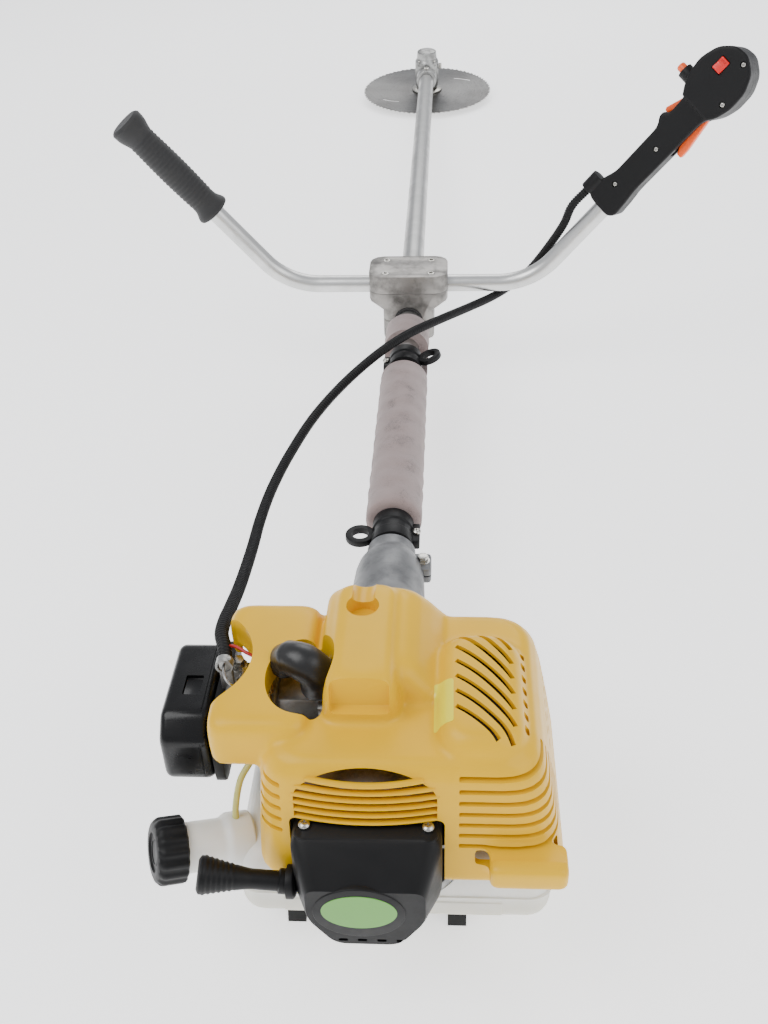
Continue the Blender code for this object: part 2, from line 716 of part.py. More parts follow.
def louvre_cuts():
    """The rows of cooling slots, each a box through the wall that it opens."""
    cuts = []
    for number in range(LOUVRES):
        low = STARTER_TOP + 0.008 + number * LOUVRE_PITCH
        cuts.append(block((-0.041, COVER_Y[0] - 0.02, low), (0.040, COVER_Y[0] + 0.028, low + SLOT)))
    for number in range(6):
        low = 0.018 + number * 0.0085
        cuts.append(block((0.060, COVER_Y[0] - 0.005, low), (COVER_X[1] + 0.02, -0.030, low + SLOT)))
    for number in range(4):
        low = 0.028 + number * 0.0085
        cuts.append(block((-0.066, COVER_Y[0] - 0.02, low), (-0.050, COVER_Y[0] + 0.025, low + SLOT)))
    for number in range(7):
        rear = -0.052 + number * 0.0105
        cuts.append(block((0.058, rear, BULGE_TOP - 0.012), (0.088, rear + 0.0048, BULGE_TOP + 0.01)))
    return together(*cuts)


def engine_cover(crank_line):
    """Moulded cover over the cylinder, muffler and fan housing."""
    outer = cover_hoods(0.0)
    cover = piece("engine_cover", outer[0], "yellow_abs", crank_line)
    for number, mesh in enumerate(outer[1:]):
        fuse(cover, tool("cover_outer_%d" % number, mesh, crank_line))
    scoop = block((0.076, COVER_Y[0] - 0.014, 0.000), (0.120, COVER_Y[0] + 0.006, 0.014), 0.003)
    fuse(cover, tool("scoop", scoop, crank_line))
    for number, mesh in enumerate(cover_hoods(WALL)):
        cut(cover, tool("cover_inner_%d" % number, mesh, crank_line))
    half = STARTER_HALF + 0.003
    openings = {
        "starter_gap": block((-half, COVER_Y[0] - 0.01, -0.05), (half, COVER_Y[0] + 0.02, STARTER_TOP + 0.003)),
        "clutch_gap": rod(CLUTCH_BELL_R + 0.004, 0.055, COVER_Y[1] + 0.01),
        "clutch_gap_low": block((-CLUTCH_BELL_R - 0.004, 0.055, -0.05),
                                (CLUTCH_BELL_R + 0.004, COVER_Y[1] + 0.01, 0.0)),
        "carb_gap": block((COVER_X[0] - 0.006, -0.022, -0.05), (COVER_X[0] + 0.014, 0.042, 0.066)),
        "wing_scoop": rod(0.042, 0.0, 0.12, "z", 36),
        "boot_gap": rod(0.0245, 0.06, 0.12, "z", 28),
        "scoop_gap": block((0.070, COVER_Y[0] - 0.0115, 0.0025), (0.1175, COVER_Y[0] + 0.010, 0.0115)),
        "top_hole": rod(0.0105, 0.09, 0.12, "z", 24),
    }
    places = {"wing_scoop": (-0.120, 0.006, 0.0), "boot_gap": (-0.042, -0.005, 0.0),
              "top_hole": (-0.006, 0.034, 0.0)}
    for name, mesh in openings.items():
        cut(cover, tool(name, mesh, crank_line, places.get(name, (0, 0, 0))))
    return cut(cover, tool("louvres", louvre_cuts(), crank_line))


# ============================================================ tank and stand
def neck_turn():
    """Turn that lays local Z along the filler neck."""
    back, up = NECK_TILT
    along = Vector((-math.cos(up) * math.cos(back), -math.cos(up) * math.sin(back), math.sin(up)))
    return along.to_track_quat("Z", "Y").to_euler()


def tank_block(inset, saddle):
    """The tank's box less the saddle that the crankcase sits in."""
    low = (TANK_X[0] + inset, TANK_Y[0] + inset, TANK_Z[0] + inset)
    high = (TANK_X[1] - inset, TANK_Y[1] - inset, TANK_Z[1] - inset)
    box = block(low, high, 0.012 - inset, 2)
    return box, rod(saddle, TANK_Y[0] - 0.01, TANK_Y[1] + 0.01, steps=32)


def fuel_tank(crank_line):
    """Blow-moulded tank with its filler neck."""
    saddle = FAN_HOUSING_R + 0.002
    box, hollow = tank_block(0.0, saddle)
    tank = piece("fuel_tank", box, "tank_polyethylene", crank_line)
    cut(tank, tool("saddle", hollow, crank_line))
    neck = rod(NECK_R, -0.004, NECK_LENGTH, "z", 28)
    fuse(tank, tool("neck", neck, crank_line, NECK_FOOT, neck_turn()))
    inner, wide = tank_block(TANK_WALL, saddle + TANK_WALL)
    room = cut(tool("tank_room", inner, crank_line), tool("wide_saddle", wide, crank_line))
    cut(tank, room)
    bore = rod(NECK_R - TANK_WALL, -0.010, NECK_LENGTH + 0.01, "z", 28)
    return cut(tank, tool("neck_bore", bore, crank_line, NECK_FOOT, neck_turn()))


def fuel_cap(crank_line):
    """Screw cap over the neck, with grip ribs round its rim."""
    inner = NECK_R + 0.0006
    rim = prism(toothed(CAP_R - 0.001, CAP_R, 24, 0.5), NECK_LENGTH + CAP_WALL - CAP_HEIGHT,
                NECK_LENGTH + CAP_WALL)
    cap = piece("fuel_cap", rim, "black_nylon", crank_line, NECK_FOOT, neck_turn())
    room = tool("cap_room", rod(inner, NECK_LENGTH - 0.03, NECK_LENGTH + GAP, "z", 28), crank_line,
                NECK_FOOT, neck_turn())
    return cut(cap, room)


def engine_stand(crank_line):
    """Stand under the tank: a plate on two skids and a cross member, cut level with the floor."""
    top = TANK_Z[0] - GAP
    plate = block((-SKID_X - SKID_W / 2, SKID_Y[0] + 0.014, top - 0.004),
                  (SKID_X + SKID_W / 2, SKID_Y[1] - 0.014, top))
    stand = piece("engine_stand", plate, "black_nylon", crank_line)
    for side in (-1, 1):
        x = side * SKID_X
        profile = rounded([(SKID_Y[0], -AXIS_HEIGHT - 0.010), (SKID_Y[1], -AXIS_HEIGHT - 0.010),
                           (SKID_Y[1] - 0.010, top - 0.0005), (SKID_Y[0] + 0.010, top - 0.0005)], 0.003)
        skid = prism(profile, x - SKID_W / 2 + 0.0005, x + SKID_W / 2 - 0.0005, "x")
        fuse(stand, tool("skid_%d" % side, skid, crank_line))
    cross = block((-SKID_X, -CROSS_HALF, -AXIS_HEIGHT - 0.010), (SKID_X, CROSS_HALF, CROSS_HEIGHT - AXIS_HEIGHT))
    fuse(stand, tool("cross_member", cross, crank_line))
    floor = tool("floor", block((-0.3, -0.3, -0.1), (0.3, 0.3, 0.0)), None)
    return cut(stand, floor)


# ============================================================ starter
def starter_outline(scale, drop):
    """Outline of the starter housing around the crank axis: flat top, chamfered bottom corners."""
    half = STARTER_HALF * scale
    top = STARTER_TOP - drop
    bottom = STARTER_BOTTOM * scale
    return rounded([(-half, top), (-half, bottom * 0.35), (-half * 0.55, bottom), (half * 0.55, bottom),
                    (half, bottom * 0.35), (half, top)][::-1], 0.007 * scale, 3)


def starter_housing(crank_line):
    """Starter housing with a sloping top and a raised middle."""
    front = FAN_HOUSING_REAR - GAP
    sections = [(starter_outline(1.0, 0.0), -front), (starter_outline(1.0, 0.0), -STARTER_SHOULDER),
                (starter_outline(0.80, 0.0210), -STARTER_REAR)]
    body = loft(sections)
    bmesh.ops.transform(body, matrix=Matrix(((1, 0, 0, 0), (0, 0, -1, 0), (0, 1, 0, 0), (0, 0, 0, 1))),
                        verts=body.verts)
    housing = piece("starter_housing", body, "black_nylon", crank_line)
    room = rod(PULLEY_R + 0.003, STARTER_SHOULDER - 0.006, front + 0.01)
    outlet = rod(0.003, 0.0, 0.060, "x", 12)
    cut(housing, tool("pulley_room", room, crank_line))
    return cut(housing, tool("rope_outlet", outlet, crank_line,
                             (-0.055, PULL_FOOT.y, PULL_FOOT.z)))


def starter_pulley(crank_line):
    """Rope pulley of the starter, with its groove."""
    low = STARTER_SHOULDER - 0.005
    high = low + PULLEY_WIDTH
    profile = [(0.005, low), (PULLEY_R, low), (PULLEY_R - 0.006, low + PULLEY_WIDTH / 2), (PULLEY_R, high),
               (0.005, high)]
    return piece("starter_pulley", lathe(profile, ring=True, steps=28), "black_nylon", crank_line)


def starter_pull(crank_line):
    """Pull grip of the starter, on the housing's left."""
    profile = [(0, 0), (0.0065, 0), (0.0075, 0.010), (0.0085, 0.030), (PULL_R, 0.042),
               (PULL_R, PULL_LENGTH - 0.003), (PULL_R - 0.003, PULL_LENGTH), (0, PULL_LENGTH)]
    return piece("starter_pull", lathe(profile, "z", 20), "black_nylon", crank_line,
                 PULL_FOOT, (0, *PULL_TURN))


def starter_screw(name, crank_line, side):
    """Screw in an upper corner of the starter housing."""
    x = side * (STARTER_HALF - 0.0085)
    z = STARTER_TOP + GAP
    profile = [(0, 0), (0.0038, 0), (0.0038, 0.0018), (0.0025, 0.003), (0, 0.003)]
    return piece(name, lathe(profile, "z", 16), "plated_steel", crank_line,
                 (x, (STARTER_SHOULDER + FAN_HOUSING_REAR) / 2, z))


# ============================================================ clutch, tube and shaft
def clutch_rotor(crank_line):
    """Clutch hub and shoes on the crankshaft."""
    inner = CRANK_D / 2 + GAP
    outer = DRUM_R - DRUM_WALL - RUN
    return piece("clutch_rotor", ring(inner, outer, DRUM_Y[0] + 0.004, DRUM_Y[1] - DRUM_WALL - 0.006),
                 "dark_steel", crank_line)


def clutch_drum(crank_line):
    """Clutch drum that drives the shaft."""
    wall = DRUM_R - DRUM_WALL
    bore = SHAFT_D / 2 + GAP
    floor = DRUM_Y[1] - DRUM_WALL
    profile = [(0, floor), (wall, floor), (wall, DRUM_Y[0]), (DRUM_R, DRUM_Y[0]), (DRUM_R, DRUM_Y[1]),
               (DRUM_BOSS_R, DRUM_Y[1]), (DRUM_BOSS_R, SHAFT_REAR + 0.006), (bore, SHAFT_REAR + 0.006),
               (bore, SHAFT_REAR - GAP), (0, SHAFT_REAR - GAP)]
    return piece("clutch_drum", lathe(profile), "ground_steel", crank_line)


def clutch_housing(crank_line):
    """Clutch housing that carries the tube on the engine, with its clamping ear."""
    bell = CLUTCH_BELL_R - CLUTCH_BELL_WALL
    tube = TUBE_OD / 2 + GAP
    profile = [(bell, CASE_FRONT + GAP), (CLUTCH_BELL_R, CASE_FRONT + GAP), (CLUTCH_BELL_R, 0.104),
               (0.043, 0.120), (0.0385, 0.150), (0.0330, 0.180), (0.0280, 0.200), (0.0225, 0.212),
               (CLUTCH_NOSE_R, 0.218), (CLUTCH_NOSE_R, CLUTCH_FRONT), (tube, CLUTCH_FRONT),
               (tube, TUBE_REAR - GAP), (DRUM_BOSS_R + 0.002, TUBE_REAR - GAP),
               (DRUM_BOSS_R + 0.002, SHAFT_REAR + 0.009), (bell - 0.004, CLUTCH_BELL_FRONT),
               (bell, CLUTCH_BELL_FRONT - 0.010)]
    housing = piece("clutch_housing", lathe(profile, ring=True, steps=24), "cast_aluminium", crank_line)
    ear = block((tube + 0.003, 0.196, -0.007), (0.034, 0.218, 0.009), 0.002)
    return fuse(housing, tool("clutch_ear", ear, crank_line))


def drive_tube(crank_line):
    """Aluminium tube from the clutch housing to the gear case."""
    outer = TUBE_OD / 2
    front = SPINDLE_DISTANCE - GEAR_SOCKET + SOCKET_DEPTH
    return piece("drive_tube", ring(outer - TUBE_WALL, outer, TUBE_REAR, front), "drawn_aluminium",
                 crank_line)


def drive_shaft(crank_line):
    """Solid shaft inside the tube."""
    front = SPINDLE_DISTANCE + PINION_Y[0] - GAP
    return piece("drive_shaft", rod(SHAFT_D / 2, SHAFT_REAR, front, steps=16), "ground_steel", crank_line)


def shaft_bush(name, crank_line, place):
    """Bush that holds the shaft in the middle of the tube."""
    inner = SHAFT_D / 2 + GAP
    outer = TUBE_OD / 2 - TUBE_WALL - GAP
    return piece(name, ring(inner, outer, place - BUSH_LENGTH / 2, place + BUSH_LENGTH / 2, steps=24),
                 "sintered_bronze", crank_line)


# ============================================================ gear head and blade
def gear_case(crank_line, spindle_line):
    """Gear case: an upright barrel round the spindle and a socket for the tube."""
    inner = GEAR_CASE_R - GEAR_CASE_WALL
    barrel = lathe([(0, GEAR_CASE_TOP), (0.010, GEAR_CASE_TOP), (0.0185, GEAR_CASE_TOP - 0.003),
                    (0.0195, GEAR_CASE_TOP - 0.016), (GEAR_CASE_R, GEAR_CASE_TOP - 0.022),
                    (GEAR_CASE_R, GEAR_CASE_BOTTOM), (0, GEAR_CASE_BOTTOM)], "z", 28)
    case = piece("gear_case", barrel, "cast_aluminium", spindle_line)
    rear = SPINDLE_DISTANCE - GEAR_SOCKET
    socket = rod(TUBE_OD / 2 + 0.0055, rear, SPINDLE_DISTANCE - 0.008, steps=28)
    fuse(case, tool("socket", socket, crank_line))
    room = rod(inner, GEAR_CASE_BOTTOM - 0.01, GEAR_CASE_TOP - 0.028, "z", 28)
    throat = rod(PINION_R + RUN, rear, SPINDLE_DISTANCE)
    bore = rod(TUBE_OD / 2 + GAP, rear - 0.01, rear + SOCKET_DEPTH + GAP, steps=22)
    return cut(case, tool("gear_room", room, spindle_line), tool("throat", throat, crank_line),
               tool("tube_bore", bore, crank_line))


def grease_bolt(spindle_line):
    """Grease filler bolt on the right of the gear case."""
    x = GEAR_CASE_R + GAP
    bolt = piece("grease_bolt", prism(hexagon(0.010), x, x + 0.006), "plated_steel", spindle_line)
    bolt.data.transform(ALONG["x"])
    bolt.location = (0, 0, 0.014)
    return bolt


def gear_case_screw(crank_line):
    """Screw that clamps the gear case on the tube."""
    profile = [(0, 0), (0.0045, 0), (0.0045, 0.004), (0, 0.004)]
    return piece("gear_case_screw", lathe(profile, "z", 16), "plated_steel", crank_line,
                 (0, SPINDLE_DISTANCE - GEAR_SOCKET + 0.012, TUBE_OD / 2 + 0.0055 + GAP))


def pinion_gear(crank_line):
    """Pinion on the front end of the shaft."""
    low = SPINDLE_DISTANCE + PINION_Y[0]
    high = SPINDLE_DISTANCE + PINION_Y[1]
    outline = toothed(PINION_R - 0.0018, PINION_R, PINION_TEETH)
    return piece("pinion_gear", prism(outline, low, high, "y"), "ground_steel", crank_line)


def output_spindle(spindle_line):
    """Blade spindle with its bevel gear."""
    radius = SPINDLE_D / 2
    shaft = piece("output_spindle", rod(radius, blade_nut_bottom() + 0.001, 0.0, "z", 20),
                  "ground_steel", spindle_line)
    gear = prism(toothed(RING_GEAR_R - 0.0018, RING_GEAR_R, RING_GEAR_TEETH), *RING_GEAR_Z)
    return fuse(shaft, tool("ring_gear", gear, spindle_line))


def spindle_bearing(spindle_line):
    """Lower bearing of the spindle."""
    outer = GEAR_CASE_R - GEAR_CASE_WALL - GAP
    return piece("spindle_bearing", ring(SPINDLE_D / 2 + RUN / 2, outer, GEAR_CASE_BOTTOM + 0.0002,
                                         RING_GEAR_Z[0] - RUN, "z", 24), "ground_steel", spindle_line)


def blade_holder(spindle_line):
    """Upper blade flange with the boss that centres the blade."""
    bore = SPINDLE_D / 2 + GAP
    boss = ARBOR_D / 2 - GAP
    low = FLANGE_Z[0] - GAP - BLADE_T + 0.0001
    profile = [(bore, FLANGE_Z[1]), (0.016, FLANGE_Z[1]), (FLANGE_R, FLANGE_Z[1] - 0.003),
               (FLANGE_R, FLANGE_Z[0]), (boss, FLANGE_Z[0]), (boss, low), (bore, low)]
    return piece("blade_holder", lathe(profile, "z", ring=True), "plated_steel", spindle_line)


def blade(spindle_line):
    """Circular saw blade."""
    top = FLANGE_Z[0] - GAP
    outline = []
    pitch = math.tau / BLADE_TEETH
    for index in range(BLADE_TEETH):
        for radius, part in ((BLADE_R - BLADE_TOOTH, 0.0), (BLADE_R, 0.85)):
            angle = pitch * (index + part)
            outline.append((radius * math.cos(angle), radius * math.sin(angle)))
    disc = piece("blade", prism(outline, top - BLADE_T, top), "ground_steel", spindle_line)
    bore = tool("arbor", rod(ARBOR_D / 2, top - 0.01, top + 0.01, "z", 32), spindle_line)
    return cut(disc, bore)


def blade_washer(spindle_line):
    """Lower washer that clamps the blade."""
    top = FLANGE_Z[0] - GAP - BLADE_T - GAP
    bore = SPINDLE_D / 2 + GAP
    profile = [(bore, top), (WASHER_R, top), (WASHER_R - 0.003, top - WASHER_T), (bore, top - WASHER_T)]
    return piece("blade_washer", lathe(profile, "z", ring=True), "plated_steel", spindle_line)


def blade_nut(spindle_line):
    """Left-hand nut under the washer."""
    low = blade_nut_bottom()
    nut = piece("blade_nut", prism(hexagon(NUT_AF), low, low + NUT_H), "plated_steel", spindle_line)
    bore = tool("nut_bore", rod(SPINDLE_D / 2 + GAP, low - 0.01, low + 0.03, "z", 20), spindle_line)
    return cut(nut, bore)


# ============================================================ handlebar
def arm_point(side, along):
    """A point on an arm's centre line, measured from the end of its bend."""
    x = BAR_STRAIGHT + BAR_BEND_R * math.sin(ARM_ANGLE) + along * math.cos(ARM_ANGLE)
    z = BAR_BEND_R * (1 - math.cos(ARM_ANGLE)) + along * math.sin(ARM_ANGLE)
    return Vector((side * x, 0.0, z))


def bar_path(left_arm, right_arm):
    """Centre line of the handlebar from the left end to the right end."""
    bend = [Vector((BAR_STRAIGHT + BAR_BEND_R * math.sin(angle), 0.0, BAR_BEND_R * (1 - math.cos(angle))))
            for angle in (ARM_ANGLE * step / 7 for step in range(8))]
    mirrored = [Vector((-point.x, 0.0, point.z)) for point in reversed(bend)]
    return [arm_point(-1, left_arm)] + mirrored + bend + [arm_point(1, right_arm)]


def handlebar(bar_line):
    """Bent aluminium handlebar, open at both ends."""
    outer = swept_rod(bar_path(LEFT_ARM, RIGHT_ARM), BAR_D / 2, 3)
    inner = swept_rod(bar_path(LEFT_ARM + 0.01, RIGHT_ARM + 0.01), BAR_D / 2 - BAR_WALL, 3)
    bar = piece("handlebar", outer, "drawn_aluminium", bar_line)
    return cut(bar, tool("bar_hollow", inner, bar_line))


def bar_bore(name, crank_line):
    """Hole of the clamp for the handlebar."""
    radius = BAR_D / 2 + GAP
    return tool(name, rod(radius, -0.1, 0.1, "x", 22), crank_line, (0, BAR_Y, BAR_Z))


def tube_bore(name, crank_line, radius):
    """Hole of the clamp for the tube and its rubber ring."""
    return tool(name, rod(radius, BAR_Y - 0.1, BAR_Y + 0.1, steps=22), crank_line)


def clamp_cap(crank_line):
    """Upper half of the handlebar clamp."""
    half_x, half_y = CLAMP_HALF
    outline = rounded(rectangle((-half_x, half_x), (BAR_Y - half_y, BAR_Y + half_y)), CLAMP_ROUND)
    cap = piece("clamp_cap", prism(outline, BAR_Z + GAP / 2, CLAMP_TOP), "cast_aluminium", crank_line)
    bore = bar_bore("cap_bore", crank_line)
    cut(cap, bore)
    for number, mesh in enumerate(screw_holes()):
        cut(cap, tool("cap_screw_hole_%d" % number, mesh, crank_line))
    return cap


def screw_places():
    """The four places of the clamp's screws."""
    return [(sx * CLAMP_SCREW_AT[0], BAR_Y + sy * CLAMP_SCREW_AT[1]) for sy in (-1, 1) for sx in (-1, 1)]


def screw_holes():
    """Stepped holes for the clamp's screws."""
    seat = CLAMP_TOP - SCREW_HEAD_H
    holes = []
    for x, y in screw_places():
        mesh = lathe([(0, 0.014), (SCREW_D / 2 + GAP, 0.014), (SCREW_D / 2 + GAP, seat),
                      (SCREW_HEAD_D / 2 + GAP, seat), (SCREW_HEAD_D / 2 + GAP, CLAMP_TOP + 0.01),
                      (0, CLAMP_TOP + 0.01)], "z", 16)
        bmesh.ops.translate(mesh, vec=(x, y, 0), verts=mesh.verts)
        holes.append(mesh)
    return holes


def clamp_body(crank_line):
    """Middle piece of the clamp, between the handlebar and the tube."""
    half_x, half_y = CLAMP_HALF
    wide = rounded(rectangle((-half_x, half_x), (BAR_Y - half_y, BAR_Y + half_y)), CLAMP_ROUND)
    narrow = rounded(rectangle((-SHAFT_CLAMP_HALF, SHAFT_CLAMP_HALF),
                               (BAR_Y - half_y, BAR_Y + half_y)), CLAMP_ROUND * 0.6)
    body = piece("clamp_body", loft([(narrow, GAP / 2), (narrow, 0.012), (wide, 0.022),
                                     (wide, BAR_Z - GAP / 2)]), "cast_aluminium", crank_line)
    ring_outer = TUBE_OD / 2 + BUSH_RING_T + 2 * GAP
    cut(body, bar_bore("body_bar_bore", crank_line), tube_bore("body_tube_bore", crank_line, ring_outer))
    for number, mesh in enumerate(screw_holes()):
        cut(body, tool("body_screw_hole_%d" % number, mesh, crank_line))
    return body


def clamp_lower(crank_line):
    """Lower half of the shaft clamp."""
    half_y = CLAMP_HALF[1]
    outline = rounded(rectangle((-SHAFT_CLAMP_HALF, SHAFT_CLAMP_HALF),
                                (BAR_Y - half_y, BAR_Y + half_y)), CLAMP_ROUND * 0.6)
    lower = piece("clamp_lower", prism(outline, SHAFT_CLAMP_BOTTOM, -GAP / 2), "cast_aluminium", crank_line)
    ring_outer = TUBE_OD / 2 + BUSH_RING_T + 2 * GAP
    return cut(lower, tube_bore("lower_tube_bore", crank_line, ring_outer))


def clamp_rubber(crank_line):
    """Rubber ring between the clamp and the tube."""
    half = CLAMP_HALF[1] + 0.0015
    inner = TUBE_OD / 2 + GAP
    return piece("clamp_rubber", ring(inner, inner + BUSH_RING_T, BAR_Y - half, BAR_Y + half, steps=22),
                 "black_rubber", crank_line)


def clamp_screw(name, crank_line, place):
    """Socket-head screw of the clamp."""
    seat = CLAMP_TOP - SCREW_HEAD_H + GAP
    head = SCREW_HEAD_D / 2
    profile = [(0, 0.016), (SCREW_D / 2, 0.016), (SCREW_D / 2, seat), (head, seat),
               (head, seat + SCREW_HEAD_H - 0.0012), (0.0022, seat + SCREW_HEAD_H - 0.0012),
               (0.0022, seat + 0.002), (0, seat + 0.002)]
    return piece(name, lathe(profile, "z", 12), "plated_steel", crank_line, (*place, 0.0))


def left_grip(bar_line):
    """Rubber grip on the left arm, flared at both ends."""
    inner = BAR_D / 2 + GAP
    end = LEFT_ARM - GRIP_START
    profile = [(0, end + GAP), (inner, end + GAP), (inner, 0), (GRIP_FLARE_R - 0.002, 0),
               (GRIP_FLARE_R, 0.003), (GRIP_FLARE_R, 0.007), (GRIP_R, 0.016), (GRIP_R + 0.0012, 0.060),
               (GRIP_R, 0.112), (GRIP_FLARE_R, 0.126), (GRIP_FLARE_R, GRIP_LENGTH - 0.002),
               (GRIP_FLARE_R - 0.003, GRIP_LENGTH), (0, GRIP_LENGTH)]
    return piece("left_grip", lathe(profile, "z", 20), "black_rubber", bar_line,
                 arm_point(-1, GRIP_START), (0, ARM_ANGLE - math.radians(90), 0))


# ============================================================ throttle handle
def handle_outline():
    """Side view of the throttle handle: flared foot, slim grip and rounded head."""
    return [(-0.022, 0.004), (-0.014, 0.0), (0.012, 0.0), (0.018, 0.006), (0.0165, 0.026), (0.0145, 0.040),
            (0.0150, 0.094), (0.0150, 0.138), (0.0240, HEAD_START + 0.004), (0.0285, HEAD_START + 0.020),
            (0.0275, 0.186), (0.0190, 0.202), (0.0030, HANDLE_LENGTH), (-0.0130, 0.210),
            (-0.0260, 0.198), (-0.0315, 0.180), (-0.0300, 0.164), (-0.0240, 0.150), (-0.0175, 0.142),
            (-0.0165, 0.120), (-0.0225, 0.117), (-0.0225, 0.111), (-0.0160, 0.102), (-0.0155, 0.040),
            (-0.0215, 0.022), (-0.0260, 0.014)]


def handle_shell(name, handle_line, side):
    """One half of the throttle handle; side is -1 for the rear half and 1 for the front."""
    inner = side * GAP / 2
    outline = handle_outline()
    low, high = sorted((inner, side * HEAD_DEPTH))
    shell = piece(name, prism(outline, low, high, "y"), "black_nylon", handle_line)
    slim_low, slim_high = sorted((side * GRIP_DEPTH, side * (HEAD_DEPTH + 0.01)))
    slim = block((-0.05, slim_low, -0.01), (0.05, slim_high, HEAD_START - 0.006))
    cut(shell, tool(name + "_slim", slim, handle_line))
    bore = rod(BAR_D / 2 + GAP, -0.01, HANDLE_BORE, "z", 24)
    cut(shell, tool(name + "_bore", bore, handle_line))
    half = TRIGGER_HALF + RUN
    trigger_slot = block((-0.002, -half, 0.090), (0.030, half, TRIGGER_PIVOT.z + 0.008))
    lock_slot = block((-0.034, -half, LOCK_PIVOT.z - LOCK_LENGTH - 0.004), (0.000, half, LOCK_PIVOT.z + 0.007))
    cut(shell, tool(name + "_trigger_slot", trigger_slot, handle_line))
    cut(shell, tool(name + "_lock_slot", lock_slot, handle_line))
    if side < 0:
        add_cable_boss(shell, handle_line)
        add_switch_room(shell, handle_line)
        add_button_boss(shell, handle_line)
    return shell


def add_switch_room(shell, handle_line):
    """Pocket in the rear shell for the stop switch."""
    half_x = SWITCH_SIZE[0] / 2 + 0.0006
    half_z = SWITCH_SIZE[1] / 2 + 0.0006
    room = block((-half_x, -0.01, -half_z), (half_x, 0.009, half_z))
    cut(shell, tool("switch_room", room, handle_line, SWITCH_AT))


def add_cable_boss(shell, handle_line):
    """Boss at the foot of the rear shell, where the conduit ends."""
    boss = rod(CABLE_BOSS_R, 0.0, CABLE_BOSS_LENGTH, "z", 20)
    fuse(shell, tool("cable_boss", boss, handle_line, CABLE_BOSS))


def add_button_boss(shell, handle_line):
    """Boss on the inner side of the head, with the hole for the hold button."""
    boss = rod(BUTTON_BOSS_R, -0.008, 0.006, "x", 20)
    fuse(shell, tool("button_boss", boss, handle_line,
                     (BUTTON_AT.x + 0.001, -BUTTON_BOSS_R - 0.0005, BUTTON_AT.z)))
    hole = rod(BUTTON_R + RUN / 2, -0.03, 0.006, "x", 20)
    cut(shell, tool("button_hole", hole, handle_line,
                    (BUTTON_AT.x + 0.001, -BUTTON_BOSS_R - 0.0005, BUTTON_AT.z)))


def throttle_trigger(handle_line):
    """Trigger on the outer side of the grip, hinged at its upper end."""
    outline = [(-0.003, 0.003), (0.004, 0.004), (0.0115, 0.0005), (0.0145, -0.016), (0.0175, -0.034),
               (0.0180, -TRIGGER_LENGTH), (0.0120, -TRIGGER_LENGTH), (0.0080, -0.036), (0.0040, -0.016),
               (-0.003, -0.004)]
    return piece("throttle_trigger", prism(outline, -TRIGGER_HALF, TRIGGER_HALF, "y"), "orange_nylon",
                 handle_line, TRIGGER_PIVOT)


def trigger_lock(handle_line):
    """Lock lever on the inner side of the grip, hinged at its upper end."""
    outline = [(0.003, 0.003), (0.003, -0.004), (-0.0085, -0.010), (-0.0125, -LOCK_LENGTH + 0.003),
               (-0.0135, -LOCK_LENGTH), (-0.0175, -LOCK_LENGTH), (-0.0190, -LOCK_LENGTH + 0.003),
               (-0.0145, -0.010), (-0.0110, 0.001), (-0.004, 0.003)]
    return piece("trigger_lock", prism(outline[::-1], -TRIGGER_HALF, TRIGGER_HALF, "y"), "orange_nylon",
                 handle_line, LOCK_PIVOT)


def hold_button(handle_line):
    """Button that holds the throttle part open for starting."""
    profile = [(0, -0.015), (BUTTON_R - 0.001, -0.015), (BUTTON_R, -0.014), (BUTTON_R, 0.0), (0, 0.0)]
    return piece("hold_button", lathe(profile, "x", 20), "orange_nylon", handle_line,
                 (BUTTON_AT.x + 0.001, -BUTTON_BOSS_R - 0.0005, BUTTON_AT.z))


def stop_switch(handle_line):
    """Rocker of the stop switch."""
    half_x = SWITCH_SIZE[0] / 2
    half_z = SWITCH_SIZE[1] / 2
    outline = [(0.0045, half_z * 0.6), (-0.0005, half_z), (-0.0030, half_z * 0.9), (-0.0012, 0.0),
               (-0.0030, -half_z * 0.9), (-0.0005, -half_z), (0.0045, -half_z * 0.6)]
    return piece("stop_switch", prism(outline, -half_x, half_x, "x"), "red_nylon", handle_line,
                 SWITCH_AT, (-SWITCH_THROW / 2, 0, 0))


# ============================================================ sleeve, rings and conduit
def foam_sleeve(crank_line):
    """Foam sleeve on the tube, with a window round the upper ring."""
    sleeve = piece("foam_sleeve", ring(TUBE_OD / 2 + GAP, SLEEVE_R, *SLEEVE_Y, steps=26), "grey_foam",
                   crank_line)
    window = block((-0.04, SLEEVE_WINDOW[0], -0.006), (0.04, SLEEVE_WINDOW[1], 0.04))
    seat = rod(TUBE_OD / 2 + 2 * GAP + RING_T, SLEEVE_WINDOW[0] + 0.006, SLEEVE_WINDOW[1] - 0.006, steps=22)
    return cut(sleeve, tool("sleeve_window", window, crank_line), tool("ring_seat", seat, crank_line))


def hanger_ring(name, crank_line, span, side, tilt):
    """Clamping ring on the tube with an eye for the harness; side is 1 for right, -1 for left."""
    inner = TUBE_OD / 2 + GAP
    outer = inner + RING_T
    band = piece(name, rod(outer, *span, steps=22), "black_nylon", crank_line)
    place = (Matrix.Diagonal((side, 1, 1, 1)) @ Matrix.Rotation(tilt, 4, "Y")
             @ Matrix.Translation((outer + EYE_R - EYE_LAP, 0, 0)))
    eye = rod(EYE_R, -EYE_T / 2, EYE_T / 2, "z", 24)
    hole = rod(EYE_HOLE_R, -0.02, 0.02, "z", 20)
    for mesh in (eye, hole):
        bmesh.ops.transform(mesh, matrix=place, verts=mesh.verts)
    middle = (0, sum(span) / 2, 0)
    fuse(band, tool(name + "_eye", eye, crank_line, middle))
    bore = rod(inner, span[0] - 0.01, span[1] + 0.01, steps=22)
    return cut(band, tool(name + "_hole", hole, crank_line, middle), tool(name + "_bore", bore, crank_line))


